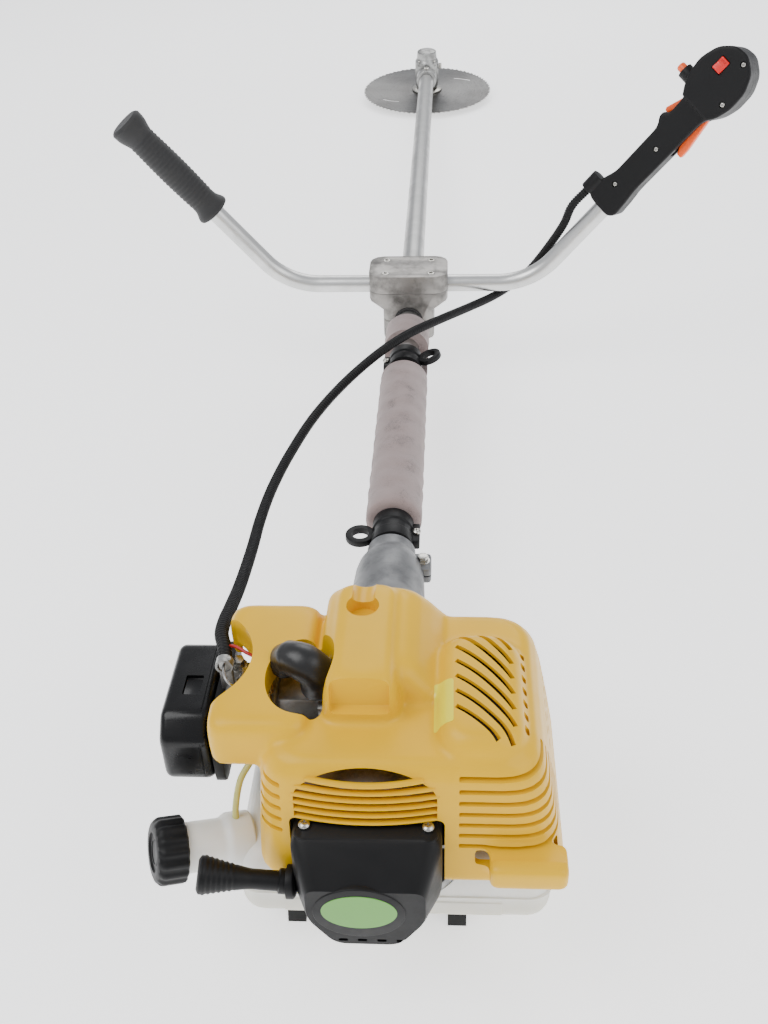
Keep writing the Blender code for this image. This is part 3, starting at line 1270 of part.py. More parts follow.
def cable_outlet():
    """Where the conduit leaves the throttle handle, around the crank line."""
    bar = Matrix.Translation((0, BAR_Y, BAR_Z)) @ Matrix.Rotation(BAR_LEAN, 4, "X")
    arm = Matrix.Translation(arm_point(1, GRIP_START)) @ Matrix.Rotation(math.radians(90) - ARM_ANGLE, 4, "Y")
    return bar @ arm @ Matrix.Rotation(HANDLE_ROLL, 4, "Z") @ (CABLE_BOSS - Vector((0, 0, GAP)))


def conduit_route():
    """Points that the conduit goes through, around the crank line."""
    outlet = cable_outlet()
    route = [outlet + Vector(offset) for offset in CONDUIT_DROP]
    route += [(x, share * BAR_Y, z) for x, share, z in CONDUIT_CROSSING]
    return route + list(CONDUIT_END)


def throttle_conduit(crank_line):
    """Corrugated conduit from the throttle handle to the carburettor."""
    return bent_rod("throttle_conduit", smooth_points(conduit_route(), CONDUIT_POINTS), CONDUIT_D / 2,
                    "black_nylon", crank_line)


# ============================================================ assembly
def build_engine(crank_line):
    """Everything that is fastened to the crankcase."""
    for make in (crankcase, crankshaft, flywheel, cylinder, spark_plug, spark_plug_boot, muffler,
                 carburettor, throttle_arm, choke_lever, primer_bulb, air_filter_base, air_filter_cover,
                 engine_cover, fuel_tank, fuel_cap, engine_stand, starter_housing, starter_pulley,
                 starter_pull):
        make(crank_line)
    starter_screw("starter_screw_left", crank_line, -1)
    starter_screw("starter_screw_right", crank_line, 1)


def build_shaft(crank_line):
    """Clutch, tube and shaft."""
    for make in (clutch_rotor, clutch_drum, clutch_housing, drive_tube, drive_shaft):
        make(crank_line)
    shaft_bush("shaft_bush_rear", crank_line, BUSH_PLACES[0])
    shaft_bush("shaft_bush_front", crank_line, BUSH_PLACES[1])


def build_gear_head(crank_line, spindle_line):
    """Gear case, gears and blade."""
    gear_case(crank_line, spindle_line)
    gear_case_screw(crank_line)
    pinion_gear(crank_line)
    for make in (grease_bolt, output_spindle, spindle_bearing, blade_holder, blade, blade_washer, blade_nut):
        make(spindle_line)


def build_handlebar(crank_line, bar_line):
    """Handlebar, its clamp and the left grip."""
    handlebar(bar_line)
    left_grip(bar_line)
    for make in (clamp_cap, clamp_body, clamp_lower, clamp_rubber):
        make(crank_line)
    for number, place in enumerate(screw_places(), start=1):
        clamp_screw("clamp_screw_%d" % number, crank_line, place)


def build_throttle(handle_line):
    """Throttle handle with its controls."""
    handle_shell("handle_shell_rear", handle_line, -1)
    handle_shell("handle_shell_front", handle_line, 1)
    for make in (throttle_trigger, trigger_lock, hold_button, stop_switch):
        make(handle_line)


def build_tube_fittings(crank_line):
    """Sleeve, hanger rings and conduit."""
    foam_sleeve(crank_line)
    half = RING_LENGTH / 2
    hanger_ring("hanger_ring_upper", crank_line, (UPPER_RING_Y - half, UPPER_RING_Y + half), 1,
                math.radians(-20))
    hanger_ring("hanger_ring_lower", crank_line, LOWER_RING_Y, -1, 0.0)
    throttle_conduit(crank_line)


def main():
    """Build the whole machine in its resting position."""
    clear_scene()
    machine = line("machine", rotation=(-resting_pitch(), 0, 0))
    crank_line = line("crank_line", machine, (0, 0, AXIS_HEIGHT))
    spindle_line = line("spindle_line", crank_line, (0, SPINDLE_DISTANCE, 0), (SPINDLE_LEAN, 0, 0))
    bar_line = line("bar_line", crank_line, (0, BAR_Y, BAR_Z), (BAR_LEAN, 0, 0))
    arm_line = line("arm_line", bar_line, arm_point(1, GRIP_START), (0, math.radians(90) - ARM_ANGLE, 0))
    handle_line = line("handle_line", arm_line, rotation=(0, 0, HANDLE_ROLL))
    build_engine(crank_line)
    build_shaft(crank_line)
    build_gear_head(crank_line, spindle_line)
    build_handlebar(crank_line, bar_line)
    build_throttle(handle_line)
    build_tube_fittings(crank_line)


main()
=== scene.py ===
"""Visible model of a petrol brush cutter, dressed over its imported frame.

The frame gives the bodies, the joints and the plain solids.  This script adds the
fine shapes and the finishes: the moulded engine cover and its slots, the corrugated
conduit, the foam sleeve, the saw blade's teeth, and what each surface is made of.

Pieces are modelled around the machine's own lines, which are read from its joints:
the crank line (Y along the shaft), the spindle line (Z along the blade's axis), the
handle line (Z along the throttle handle) and the filler neck's line.  Lengths are in
metres; MM turns a length in millimetres into metres.
"""

from __future__ import annotations

import json
import logging
import math
import sys
from dataclasses import dataclass, field
from enum import Enum
from typing import Callable, Iterable, Sequence

import bmesh
import bpy
from mathutils import Matrix, Vector
from mathutils.bvhtree import BVHTree

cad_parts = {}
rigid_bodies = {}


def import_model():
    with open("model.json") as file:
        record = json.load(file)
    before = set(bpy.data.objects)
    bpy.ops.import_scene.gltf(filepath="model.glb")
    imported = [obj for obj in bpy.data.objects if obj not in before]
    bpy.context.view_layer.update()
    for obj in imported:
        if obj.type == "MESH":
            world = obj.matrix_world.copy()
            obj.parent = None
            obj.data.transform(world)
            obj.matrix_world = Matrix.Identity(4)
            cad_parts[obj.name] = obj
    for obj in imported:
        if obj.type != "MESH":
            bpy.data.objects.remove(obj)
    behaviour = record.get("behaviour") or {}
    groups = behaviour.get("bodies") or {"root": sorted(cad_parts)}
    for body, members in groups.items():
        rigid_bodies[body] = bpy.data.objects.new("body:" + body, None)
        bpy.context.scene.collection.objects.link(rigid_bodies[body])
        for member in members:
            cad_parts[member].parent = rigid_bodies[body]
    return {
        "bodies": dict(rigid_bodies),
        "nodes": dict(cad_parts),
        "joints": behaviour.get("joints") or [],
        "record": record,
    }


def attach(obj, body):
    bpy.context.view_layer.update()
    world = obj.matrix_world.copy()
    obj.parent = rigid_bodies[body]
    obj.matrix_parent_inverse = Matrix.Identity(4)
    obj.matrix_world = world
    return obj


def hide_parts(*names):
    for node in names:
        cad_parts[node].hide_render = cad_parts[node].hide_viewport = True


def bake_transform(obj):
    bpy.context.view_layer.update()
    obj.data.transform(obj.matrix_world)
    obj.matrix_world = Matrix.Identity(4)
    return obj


LOG = logging.getLogger("brush_cutter")
MM = 0.001
Point = Sequence[float]
Profile = Sequence[tuple[float, float]]


# ============================================================ lines of the machine
class Axis(Enum):
    """The local axis that a turned or extruded shape stands along."""

    X = "x"
    Y = "y"
    Z = "z"

    def turn(self) -> Matrix:
        """Return the turn that lays Z along this axis."""
        return {
            Axis.X: Matrix.Rotation(math.radians(90), 4, "Y"),
            Axis.Y: Matrix.Rotation(math.radians(-90), 4, "X"),
            Axis.Z: Matrix.Identity(4),
        }[self]


def line_matrix(origin: Point, along_x: Point, along_y: Point) -> Matrix:
    """Build a line's matrix from its origin and two of its directions.

    Args:
        origin: where the line starts.
        along_x: its X direction.
        along_y: its Y direction, made square to X.

    Returns:
        The matrix that takes local points to the machine's frame.
    """
    x = Vector(along_x).normalized()
    z = x.cross(Vector(along_y)).normalized()
    y = z.cross(x)
    matrix = Matrix((x, y, z)).transposed().to_4x4()
    matrix.translation = Vector(origin)
    return matrix


@dataclass
class Lines:
    """The machine's lines, read from its joints.

    Attributes:
        crank: crankshaft and shaft line, Y forward.
        spindle: blade spindle line, Z up.
        handle: throttle handle line, Z along the grip, Y to the front.
        neck: fuel tank's filler line, Z out of the tank.
        bar: plane of the handlebar, X to the right.
        pull: starter pull's line, Z out of the housing.
    """

    joints: dict[str, dict]
    bar_y: float = 0.706
    bar_z: float = 0.034
    bar_lean: float = math.radians(8.0)
    trigger_pivot: tuple[float, float, float] = (0.006, 0.0, 0.140)
    pull_foot: tuple[float, float, float] = (-0.050, -0.096, -0.006)
    crank: Matrix = field(init=False)
    spindle: Matrix = field(init=False)
    handle: Matrix = field(init=False)
    neck: Matrix = field(init=False)
    bar: Matrix = field(init=False)
    pull: Matrix = field(init=False)

    def __post_init__(self) -> None:
        """Work out every line from the joints."""
        right = (1.0, 0.0, 0.0)
        crank = self.joints["crank_turn"]
        self.crank = line_matrix(crank["pos_m"], right, crank["axis"])
        blade = self.joints["blade_turn"]
        up = Vector(blade["axis"])
        self.spindle = line_matrix(blade["pos_m"], right, up.cross(Vector(right)))
        trigger = self.joints["trigger_squeeze"]
        self.handle = line_matrix(trigger["pos_m"], self.joints["start_button_press"]["axis"],
                                  trigger["axis"])
        self.handle = self.handle @ Matrix.Translation(-Vector(self.trigger_pivot))
        cap = self.joints["cap_unscrew"]
        self.neck = self.upright(cap["pos_m"], cap["axis"])
        self.bar = (self.crank @ Matrix.Translation((0, self.bar_y, self.bar_z))
                    @ Matrix.Rotation(self.bar_lean, 4, "X"))
        self.pull = self.upright(self.crank @ Vector(self.pull_foot), self.joints["recoil_slide"]["axis"])

    @staticmethod
    def upright(origin: Point, along: Point) -> Matrix:
        """Return a line whose Z follows a direction, with X kept level."""
        z = Vector(along).normalized()
        x = Vector((0, 0, 1)).cross(z).normalized()
        return line_matrix(origin, x, z.cross(x))


# ============================================================ mesh tools
def spun(profile: Profile, steps: int = 64, axis: Axis = Axis.Z, ring: bool = False) -> bmesh.types.BMesh:
    """Turn a profile of (radius, distance) around an axis.

    Args:
        profile: points from one end to the other; an open profile starts and ends on the axis.
        steps: sides of the turned shape.
        axis: the axis that it stands along.
        ring: True where the profile closes on itself and stays off the axis.

    Returns:
        The closed turned solid.
    """
    mesh = bmesh.new()
    points = [mesh.verts.new((radius, 0.0, along)) for radius, along in profile]
    edges = [mesh.edges.new(pair) for pair in zip(points, points[1:])]
    if ring:
        edges.append(mesh.edges.new((points[-1], points[0])))
    bmesh.ops.spin(mesh, geom=points + edges, cent=(0, 0, 0), axis=(0, 0, 1),
                   angle=math.tau, steps=steps, use_merge=True)
    bmesh.ops.remove_doubles(mesh, verts=mesh.verts, dist=1e-6)
    bmesh.ops.transform(mesh, matrix=axis.turn(), verts=mesh.verts)
    bmesh.ops.recalc_face_normals(mesh, faces=mesh.faces)
    return mesh


def soft_profile(profile: Profile, radius: float, steps: int = 4) -> list[tuple[float, float]]:
    """Round the inner corners of an open profile with short arcs.

    Args:
        profile: the sharp profile.
        radius: how far the rounding reaches along each side.
        steps: points on each arc.

    Returns:
        The profile with its corners rounded.
    """
    soft = [profile[0]]
    for before, here, after in zip(profile, profile[1:], profile[2:]):
        corner = Vector(here)
        back, ahead = Vector(before) - corner, Vector(after) - corner
        reach = min(radius, back.length * 0.45, ahead.length * 0.45)
        start, end = corner + back.normalized() * reach, corner + ahead.normalized() * reach
        for step in range(steps + 1):
            t = step / steps
            soft.append(tuple((1 - t) ** 2 * start + 2 * t * (1 - t) * corner + t * t * end))
    soft.append(profile[-1])
    return soft


def slab(low: Point, high: Point, bevel: float = 0.0, segments: int = 3) -> bmesh.types.BMesh:
    """Return a box between two corners with rounded edges."""
    mesh = bmesh.new()
    bmesh.ops.create_cube(mesh, size=1.0)
    bmesh.ops.scale(mesh, vec=[b - a for a, b in zip(low, high)], verts=mesh.verts)
    bmesh.ops.translate(mesh, vec=[(a + b) / 2 for a, b in zip(low, high)], verts=mesh.verts)
    if bevel:
        bmesh.ops.bevel(mesh, geom=mesh.edges, offset=bevel, segments=segments, profile=0.5,
                        affect="EDGES", material=-1, clamp_overlap=True)
    return mesh


def rounded(corners: Sequence[tuple[float, float]], radius: float,
            steps: int = 6) -> list[tuple[float, float]]:
    """Round every corner of a closed outline with an arc that reaches radius along each side."""
    count = len(corners)
    outline: list[tuple[float, float]] = []
    for index in range(count):
        trio = [corners[index - 1], corners[index], corners[(index + 1) % count]]
        outline.extend(soft_profile(trio, radius, steps)[1:-1])
    return outline


def rectangle(x_range: tuple[float, float], y_range: tuple[float, float]) -> list[tuple[float, float]]:
    """Return the four corners of a rectangle, anticlockwise."""
    return [(x_range[0], y_range[0]), (x_range[1], y_range[0]),
            (x_range[1], y_range[1]), (x_range[0], y_range[1])]


def extruded(outline: Sequence[tuple[float, float]], low: float, high: float, bevel: float = 0.0,
             segments: int = 3, axis: Axis = Axis.Z) -> bmesh.types.BMesh:
    """Extrude an outline between two heights.

    Args:
        outline: its points, (x, y) for Z, (x, z) for Y and (y, z) for X.
        low: where it starts on the axis.
        high: where it ends.
        bevel: rounding of the two rims.
        segments: steps of that rounding.
        axis: the axis that it is extruded along.

    Returns:
        The closed solid.
    """
    mesh = bmesh.new()
    face = mesh.faces.new([mesh.verts.new((x, y, low)) for x, y in outline])
    top = bmesh.ops.extrude_face_region(mesh, geom=[face])["geom"]
    raised = [item for item in top if isinstance(item, bmesh.types.BMVert)]
    bmesh.ops.translate(mesh, vec=(0, 0, high - low), verts=raised)
    bmesh.ops.recalc_face_normals(mesh, faces=mesh.faces)
    if bevel:
        rims = [edge for edge in mesh.edges if abs(edge.verts[0].co.z - edge.verts[1].co.z) < 1e-7]
        bmesh.ops.bevel(mesh, geom=rims, offset=bevel, segments=segments, profile=0.5,
                        affect="EDGES", material=-1, clamp_overlap=True)
    turned = {Axis.Z: Matrix.Identity(4),
              Axis.Y: Matrix(((1, 0, 0, 0), (0, 0, 1, 0), (0, 1, 0, 0), (0, 0, 0, 1))),
              Axis.X: Matrix(((0, 0, 1, 0), (1, 0, 0, 0), (0, 1, 0, 0), (0, 0, 0, 1)))}
    bmesh.ops.transform(mesh, matrix=turned[axis], verts=mesh.verts)
    bmesh.ops.recalc_face_normals(mesh, faces=mesh.faces)
    return mesh


def lofted(sections: Sequence[tuple[Sequence[tuple[float, float]], float]]) -> bmesh.types.BMesh:
    """Bridge outlines of equal length, each given with its height, into one closed solid."""
    mesh = bmesh.new()
    loops = []
    for outline, height in sections:
        points = [mesh.verts.new((x, y, height)) for x, y in outline]
        loops.append([mesh.edges.new(pair) for pair in zip(points, points[1:] + points[:1])])
    for lower, upper in zip(loops, loops[1:]):
        bmesh.ops.bridge_loops(mesh, edges=lower + upper)
    bmesh.ops.contextual_create(mesh, geom=loops[0])
    bmesh.ops.contextual_create(mesh, geom=loops[-1])
    bmesh.ops.recalc_face_normals(mesh, faces=mesh.faces)
    return mesh


def smooth_points(route: Sequence[Point], count: int) -> list[Vector]:
    """Read evenly spaced points from a smooth curve through a route.

    Args:
        route: the points that the curve goes through.
        count: how many points to return.

    Returns:
        Points at equal distances along the curve.
    """
    knots = [Vector(point) for point in route]
    knots = [2 * knots[0] - knots[1]] + knots + [2 * knots[-1] - knots[-2]]
    fine: list[Vector] = []
    for before, start, end, after in zip(knots, knots[1:], knots[2:], knots[3:]):
        for step in range(24):
            t = step / 24
            fine.append(0.5 * (2 * start + (end - before) * t
                               + (2 * before - 5 * start + 4 * end - after) * t ** 2
                               + (3 * start - before - 3 * end + after) * t ** 3))
    fine.append(knots[-2])
    lengths = [0.0]
    for first, second in zip(fine, fine[1:]):
        lengths.append(lengths[-1] + (second - first).length)
    points, index = [], 0
    for number in range(count):
        target = lengths[-1] * number / (count - 1)
        while index < len(fine) - 2 and lengths[index + 1] < target:
            index += 1
        span = lengths[index + 1] - lengths[index]
        points.append(fine[index].lerp(fine[index + 1], (target - lengths[index]) / span))
    return points


def route_length(points: Sequence[Vector]) -> float:
    """Return the length of a chain of points."""
    return sum((second - first).length for first, second in zip(points, points[1:]))


def swept(points: Sequence[Vector], radius: float | Callable[[float], float], sides: int = 20,
          stretch: float = 1.0, up: Point = (0.0, 0.0, 1.0)) -> bmesh.types.BMesh:
    """Sweep a round or oval section along points.

    Args:
        points: the centre line.
        radius: the section's radius, or a function of the distance along the line.
        sides: points round the section.
        stretch: how much wider the section is across than upright.
        up: the direction that an oval's short side starts from.

    Returns:
        The closed solid.
    """
    mesh = bmesh.new()
    normal = Vector(up)
    distance = 0.0
    previous = None
    edges: list[bmesh.types.BMEdge] = []
    for index, point in enumerate(points):
        ahead = points[min(index + 1, len(points) - 1)] - points[max(index - 1, 0)]
        ahead.normalize()
        normal = (normal - ahead * normal.dot(ahead)).normalized()
        across = ahead.cross(normal)
        if previous is not None:
            distance += (point - previous).length
        size = radius(distance) if callable(radius) else radius
        place = Matrix((across * size * stretch, normal * size, ahead)).transposed().to_4x4()
        place.translation = point
        if not edges:
            made = bmesh.ops.create_circle(mesh, radius=1.0, segments=sides, cap_ends=False)
            ring_points = made["verts"]
            edges = list({edge for vert in ring_points for edge in vert.link_edges})
        else:
            grown = bmesh.ops.extrude_edge_only(mesh, edges=edges)["geom"]
            ring_points = [item for item in grown if isinstance(item, bmesh.types.BMVert)]
            edges = [item for item in grown if isinstance(item, bmesh.types.BMEdge)]
            bmesh.ops.transform(mesh, matrix=placed_before.inverted(), verts=ring_points)
        bmesh.ops.transform(mesh, matrix=place, verts=ring_points)
        placed_before = place
        previous = point
    bmesh.ops.holes_fill(mesh, edges=mesh.edges, sides=0)
    bmesh.ops.recalc_face_normals(mesh, faces=mesh.faces)
    return mesh


def merged(*meshes: bmesh.types.BMesh) -> bmesh.types.BMesh:
    """Collect several solids in one bmesh."""
    whole = bmesh.new()
    for mesh in meshes:
        data = bpy.data.meshes.new("part")
        mesh.to_mesh(data)
        mesh.free()
        whole.from_mesh(data)
        bpy.data.meshes.remove(data)
    return whole


def moved(mesh: bmesh.types.BMesh, matrix: Matrix) -> bmesh.types.BMesh:
    """Move a bmesh by a matrix and return it."""
    bmesh.ops.transform(mesh, matrix=matrix, verts=mesh.verts)
    if matrix.determinant() < 0:
        bmesh.ops.reverse_faces(mesh, faces=mesh.faces)
    return mesh


def at(x: float, y: float, z: float) -> Matrix:
    """Return a move by three distances."""
    return Matrix.Translation((x, y, z))


def hexagon(across_flats: float, turn: float = 0.0) -> list[tuple[float, float]]:
    """Return the outline of a hexagon."""
    radius = across_flats / math.sqrt(3)
    return [(radius * math.cos(math.radians(60 * k) + turn), radius * math.sin(math.radians(60 * k) + turn))
            for k in range(6)]


def disc(radius: float, count: int = 48) -> list[tuple[float, float]]:
    """Return the outline of a circle."""
    return [(radius * math.cos(math.tau * k / count), radius * math.sin(math.tau * k / count))
            for k in range(count)]


def holder(mesh: bmesh.types.BMesh, name: str = "work") -> bpy.types.Object:
    """Put a bmesh in a scratch object."""
    data = bpy.data.meshes.new(name)
    mesh.to_mesh(data)
    mesh.free()
    item = bpy.data.objects.new(name, data)
    bpy.context.scene.collection.objects.link(item)
    return item


def taken_back(item: bpy.types.Object) -> bmesh.types.BMesh:
    """Read a scratch object's finished mesh and remove the object."""
    bpy.context.view_layer.update()
    graph = bpy.context.evaluated_depsgraph_get()
    data = bpy.data.meshes.new_from_object(item.evaluated_get(graph))
    mesh = bmesh.new()
    mesh.from_mesh(data)
    old = item.data
    bpy.data.objects.remove(item)
    bpy.data.meshes.remove(old)
    bpy.data.meshes.remove(data)
    return mesh


def combined(body: bmesh.types.BMesh, operation: str, other: bmesh.types.BMesh) -> bmesh.types.BMesh:
    """Apply a Boolean to two solids.

    Args:
        body: the solid that is kept.
        operation: DIFFERENCE, UNION or INTERSECT.
        other: the solid that shapes it, which may have several parts.

    Returns:
        The finished solid.
    """
    kept, shaper = holder(body), holder(other, "shaper")
    boolean = kept.modifiers.new("shape", "BOOLEAN")
    boolean.operation = operation
    boolean.solver = "EXACT"
    boolean.use_self = True
    boolean.object = shaper
    mesh = taken_back(kept)
    data = shaper.data
    bpy.data.objects.remove(shaper)
    bpy.data.meshes.remove(data)
    return mesh


def cut(body: bmesh.types.BMesh, *others: bmesh.types.BMesh) -> bmesh.types.BMesh:
    """Take solids away from a solid."""
    return combined(body, "DIFFERENCE", merged(*others))


def fused(body: bmesh.types.BMesh, *others: bmesh.types.BMesh) -> bmesh.types.BMesh:
    """Join solids to a solid."""
    return combined(body, "UNION", merged(*others))


def melted(body: bmesh.types.BMesh, voxel: float, passes: int) -> bmesh.types.BMesh:
    """Blend the joins of overlapping solids into soft fillets, as a moulding has.

    Args:
        body: the overlapping solids.
        voxel: size of the new faces.
        passes: how often the surface is smoothed.

    Returns:
        One closed solid of even faces.
    """
    work = holder(body)
    remesh = work.modifiers.new("even", "REMESH")
    remesh.mode = "VOXEL"
    remesh.voxel_size = voxel
    mesh = taken_back(work)
    for _ in range(passes):
        bmesh.ops.smooth_vert(mesh, verts=mesh.verts, factor=0.5, use_axis_x=True, use_axis_y=True,
                              use_axis_z=True)
    return mesh


def eased(mesh: bmesh.types.BMesh, width: float, segments: int = 2, angle: float = 35.0) -> bmesh.types.BMesh:
    """Round the edges of a solid that are sharper than an angle."""
    limit = math.radians(angle)
    sharp = [edge for edge in mesh.edges if len(edge.link_faces) == 2 and edge.calc_face_angle(0.0) > limit]
    bmesh.ops.bevel(mesh, geom=sharp, offset=width, segments=segments, profile=0.5,
                    affect="EDGES", material=-1, clamp_overlap=True)
    return mesh


# ============================================================ placing pieces
@dataclass
class Machine:
    """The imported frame, its lines, and how a finished piece is put on it."""

    frame: dict
    lines: Lines = field(init=False)
    count: int = 0

    def __post_init__(self) -> None:
        """Read the machine's lines from its joints."""
        self.lines = Lines({joint["name"]: joint for joint in self.frame["joints"]})

    def body_of(self, node: str) -> str:
        """Return the name of the body that a node belongs to."""
        bodies = self.frame["record"]["behaviour"]["bodies"]
        return next(name for name, members in bodies.items() if node in members)

    def add(self, name: str, mesh: bmesh.types.BMesh, finish: bpy.types.Material, like: str,
            place: Matrix | None = None, stands_for: Iterable[str] = (), crease: float = 35.0,
            ride: bool = True) -> bpy.types.Object:
        """Turn a bmesh into a visible piece.

        Args:
            name: the piece's name.
            mesh: its shape on its own line.
            finish: what it is made of.
            like: the node whose body it rides on.
            place: the line that it was modelled on.
            stands_for: nodes that it replaces.
            crease: angle, in degrees, above which an edge stays sharp.
            ride: False to leave the piece unattached to any body.

        Returns:
            The new object.
        """
        if place is not None:
            moved(mesh, place)
        data = bpy.data.meshes.new(name)
        mesh.to_mesh(data)
        mesh.free()
        data.shade_smooth()
        data.set_sharp_from_angle(angle=math.radians(crease))
        data.materials.append(finish)
        piece = bpy.data.objects.new(name, data)
        bpy.context.scene.collection.objects.link(piece)
        if ride:
            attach(piece, self.body_of(like))
        stands_for = tuple(stands_for)
        if stands_for:
            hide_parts(*stands_for)
        self.count += 1
        LOG.info("%s: %d faces", name, len(data.polygons))
        return piece

    def dress(self, finish: bpy.types.Material, *nodes: str) -> None:
        """Give plain nodes, whose shape is already right, a finish."""
        for node in nodes:
            item = self.frame["nodes"][node]
            item.data.materials.clear()
            item.data.materials.append(finish)
            LOG.info("%s: dressed", node)

    def refine(self, node: str, finish: bpy.types.Material, width: float, segments: int = 2,
               angle: float = 35.0) -> bpy.types.Object:
        """Replace a node with a copy whose sharp edges are rounded.

        Args:
            node: the node to copy.
            finish: what it is made of.
            width: how wide the rounding is.
            segments: its steps.
            angle: edges sharper than this are rounded.

        Returns:
            The new object.
        """
        mesh = bmesh.new()
        mesh.from_mesh(self.frame["nodes"][node].data)
        bmesh.ops.remove_doubles(mesh, verts=mesh.verts, dist=1e-5)
        bmesh.ops.dissolve_limit(mesh, angle_limit=math.radians(1.0), verts=mesh.verts, edges=mesh.edges)
        eased(mesh, width, segments, angle)
        return self.add(node + "_shape", mesh, finish, node, stands_for=(node,), crease=40.0)


# ============================================================ finishes
def linear(colour: str) -> tuple[float, float, float, float]:
    """Turn an sRGB hex colour such as #DDAE38 into linear RGBA."""
    values = [int(colour[index:index + 2], 16) / 255 for index in (1, 3, 5)]
    return (*[v / 12.92 if v <= 0.04045 else ((v + 0.055) / 1.055) ** 2.4 for v in values], 1.0)


def node(tree: bpy.types.NodeTree, kind: str, settings: dict | None = None,
         sockets: dict | None = None) -> bpy.types.Node:
    """Add a shader node with its settings, values and links.

    Args:
        tree: the material's node tree.
        kind: the node's type without its ShaderNode prefix.
        settings: properties to set.
        sockets: input name or number to a value, or to the output socket that feeds it.

    Returns:
        The new node.
    """
    made = tree.nodes.new("ShaderNode" + kind)
    for name, value in (settings or {}).items():
        setattr(made, name, value)
    for name, value in (sockets or {}).items():
        if isinstance(value, bpy.types.NodeSocket):
            tree.links.new(value, made.inputs[name])
        else:
            made.inputs[name].default_value = value
    return made


def blank_material(name: str, values: dict) -> tuple[bpy.types.Material, bpy.types.NodeTree, bpy.types.Node]:
    """Make a material whose Principled shader has its even values set."""
    material = bpy.data.materials.new(name)
    material.use_nodes = True
    shader = material.node_tree.nodes["Principled BSDF"]
    for socket, value in values.items():
        shader.inputs[socket].default_value = value
    return material, material.node_tree, shader


def ramp(tree: bpy.types.NodeTree, factor: bpy.types.NodeSocket,
         stops: Sequence[tuple[float, tuple[float, float, float, float]]]) -> bpy.types.NodeSocket:
    """Add a colour ramp through stops of (place, colour) and return its colour."""
    made = node(tree, "ValToRGB", sockets={"Fac": factor})
    elements = made.color_ramp.elements
    while len(elements) < len(stops):
        elements.new(0.5)
    for element, (place, colour) in zip(elements, stops):
        element.position = place
        element.color = colour
    return made.outputs["Color"]


def noise(tree: bpy.types.NodeTree, place: bpy.types.NodeSocket, scale: float, detail: float,
          roughness: float = 0.5) -> bpy.types.NodeSocket:
    """Add a noise texture and return its factor."""
    values = {"Vector": place, "Scale": scale, "Detail": detail, "Roughness": roughness}
    return node(tree, "TexNoise", sockets=values).outputs["Fac"]


def set_roughness(tree: bpy.types.NodeTree, shader: bpy.types.Node, factor: bpy.types.NodeSocket,
                  span: tuple[float, float], result: tuple[float, float]) -> None:
    """Let a factor, as it crosses a span, carry the roughness from one result to the other."""
    made = node(tree, "MapRange", sockets={"Value": factor, "From Min": span[0], "From Max": span[1],
                                           "To Min": result[0], "To Max": result[1]})
    tree.links.new(made.outputs["Result"], shader.inputs["Roughness"])


def set_relief(tree: bpy.types.NodeTree, shader: bpy.types.Node, height: bpy.types.NodeSocket,
               strength: float, depth_mm: float, invert: bool = False) -> None:
    """Let a height raise the surface, or sink it, by a depth in millimetres."""
    bump = node(tree, "Bump", {"invert": invert},
                {"Height": height, "Strength": strength, "Distance": depth_mm * MM})
    tree.links.new(bump.outputs["Normal"], shader.inputs["Normal"])


def shade(colour: str, factor: float) -> tuple[float, float, float, float]:
    """Return a hex colour made lighter or darker by a factor, as linear RGBA."""
    red, green, blue, alpha = linear(colour)
    return (min(red * factor, 1.0), min(green * factor, 1.0), min(blue * factor, 1.0), alpha)


@dataclass(frozen=True)
class MouldedPlastic:
    """Injection-moulded ABS or nylon: even colour, a skin from the mould, and fine handling marks.

    Attributes:
        name: what it is and how it was made.
        colour: base colour.
        roughness: of the bare skin.
        grain_mm: size of the mould's texture.
        grain_depth: height of the texture, in millimetres.
        mottle: how much the colour drifts over a hand's width.
        coat: weight of the clear gloss that a polished mould leaves.
        scuff: how far rubbed areas turn rougher.
        glow: light that passes under the skin.
        shine: strength of the skin's mirror, lower for a dull filler.
    """

    name: str
    colour: str
    roughness: float = 0.4
    grain_mm: float = 0.9
    grain_depth: float = 0.03
    mottle: float = 0.05
    coat: float = 0.0
    scuff: float = 0.12
    glow: float = 0.0
    shine: float = 0.5

    def material(self) -> bpy.types.Material:
        """Build the material."""
        values = {"IOR": 1.5, "Specular IOR Level": self.shine, "Coat Weight": self.coat,
                  "Coat Roughness": 0.12,
                  "Subsurface Weight": self.glow, "Subsurface Radius": (0.004, 0.003, 0.002),
                  "Subsurface Scale": 1.0}
        material, tree, shader = blank_material(self.name, values)
        place = node(tree, "TexCoord").outputs["Object"]
        tone = ramp(tree, noise(tree, place, 22.0, 3.0), [(0.30, shade(self.colour, 1 - self.mottle)),
                                                          (0.70, shade(self.colour, 1 + self.mottle))])
        tree.links.new(tone, shader.inputs["Base Color"])
        set_roughness(tree, shader, noise(tree, place, 75.0, 6.0, 0.65), (0.35, 0.75),
                      (self.roughness, self.roughness + self.scuff))
        set_relief(tree, shader, noise(tree, place, 1 / (self.grain_mm * MM), 2.0), 0.6, self.grain_depth)
        return material


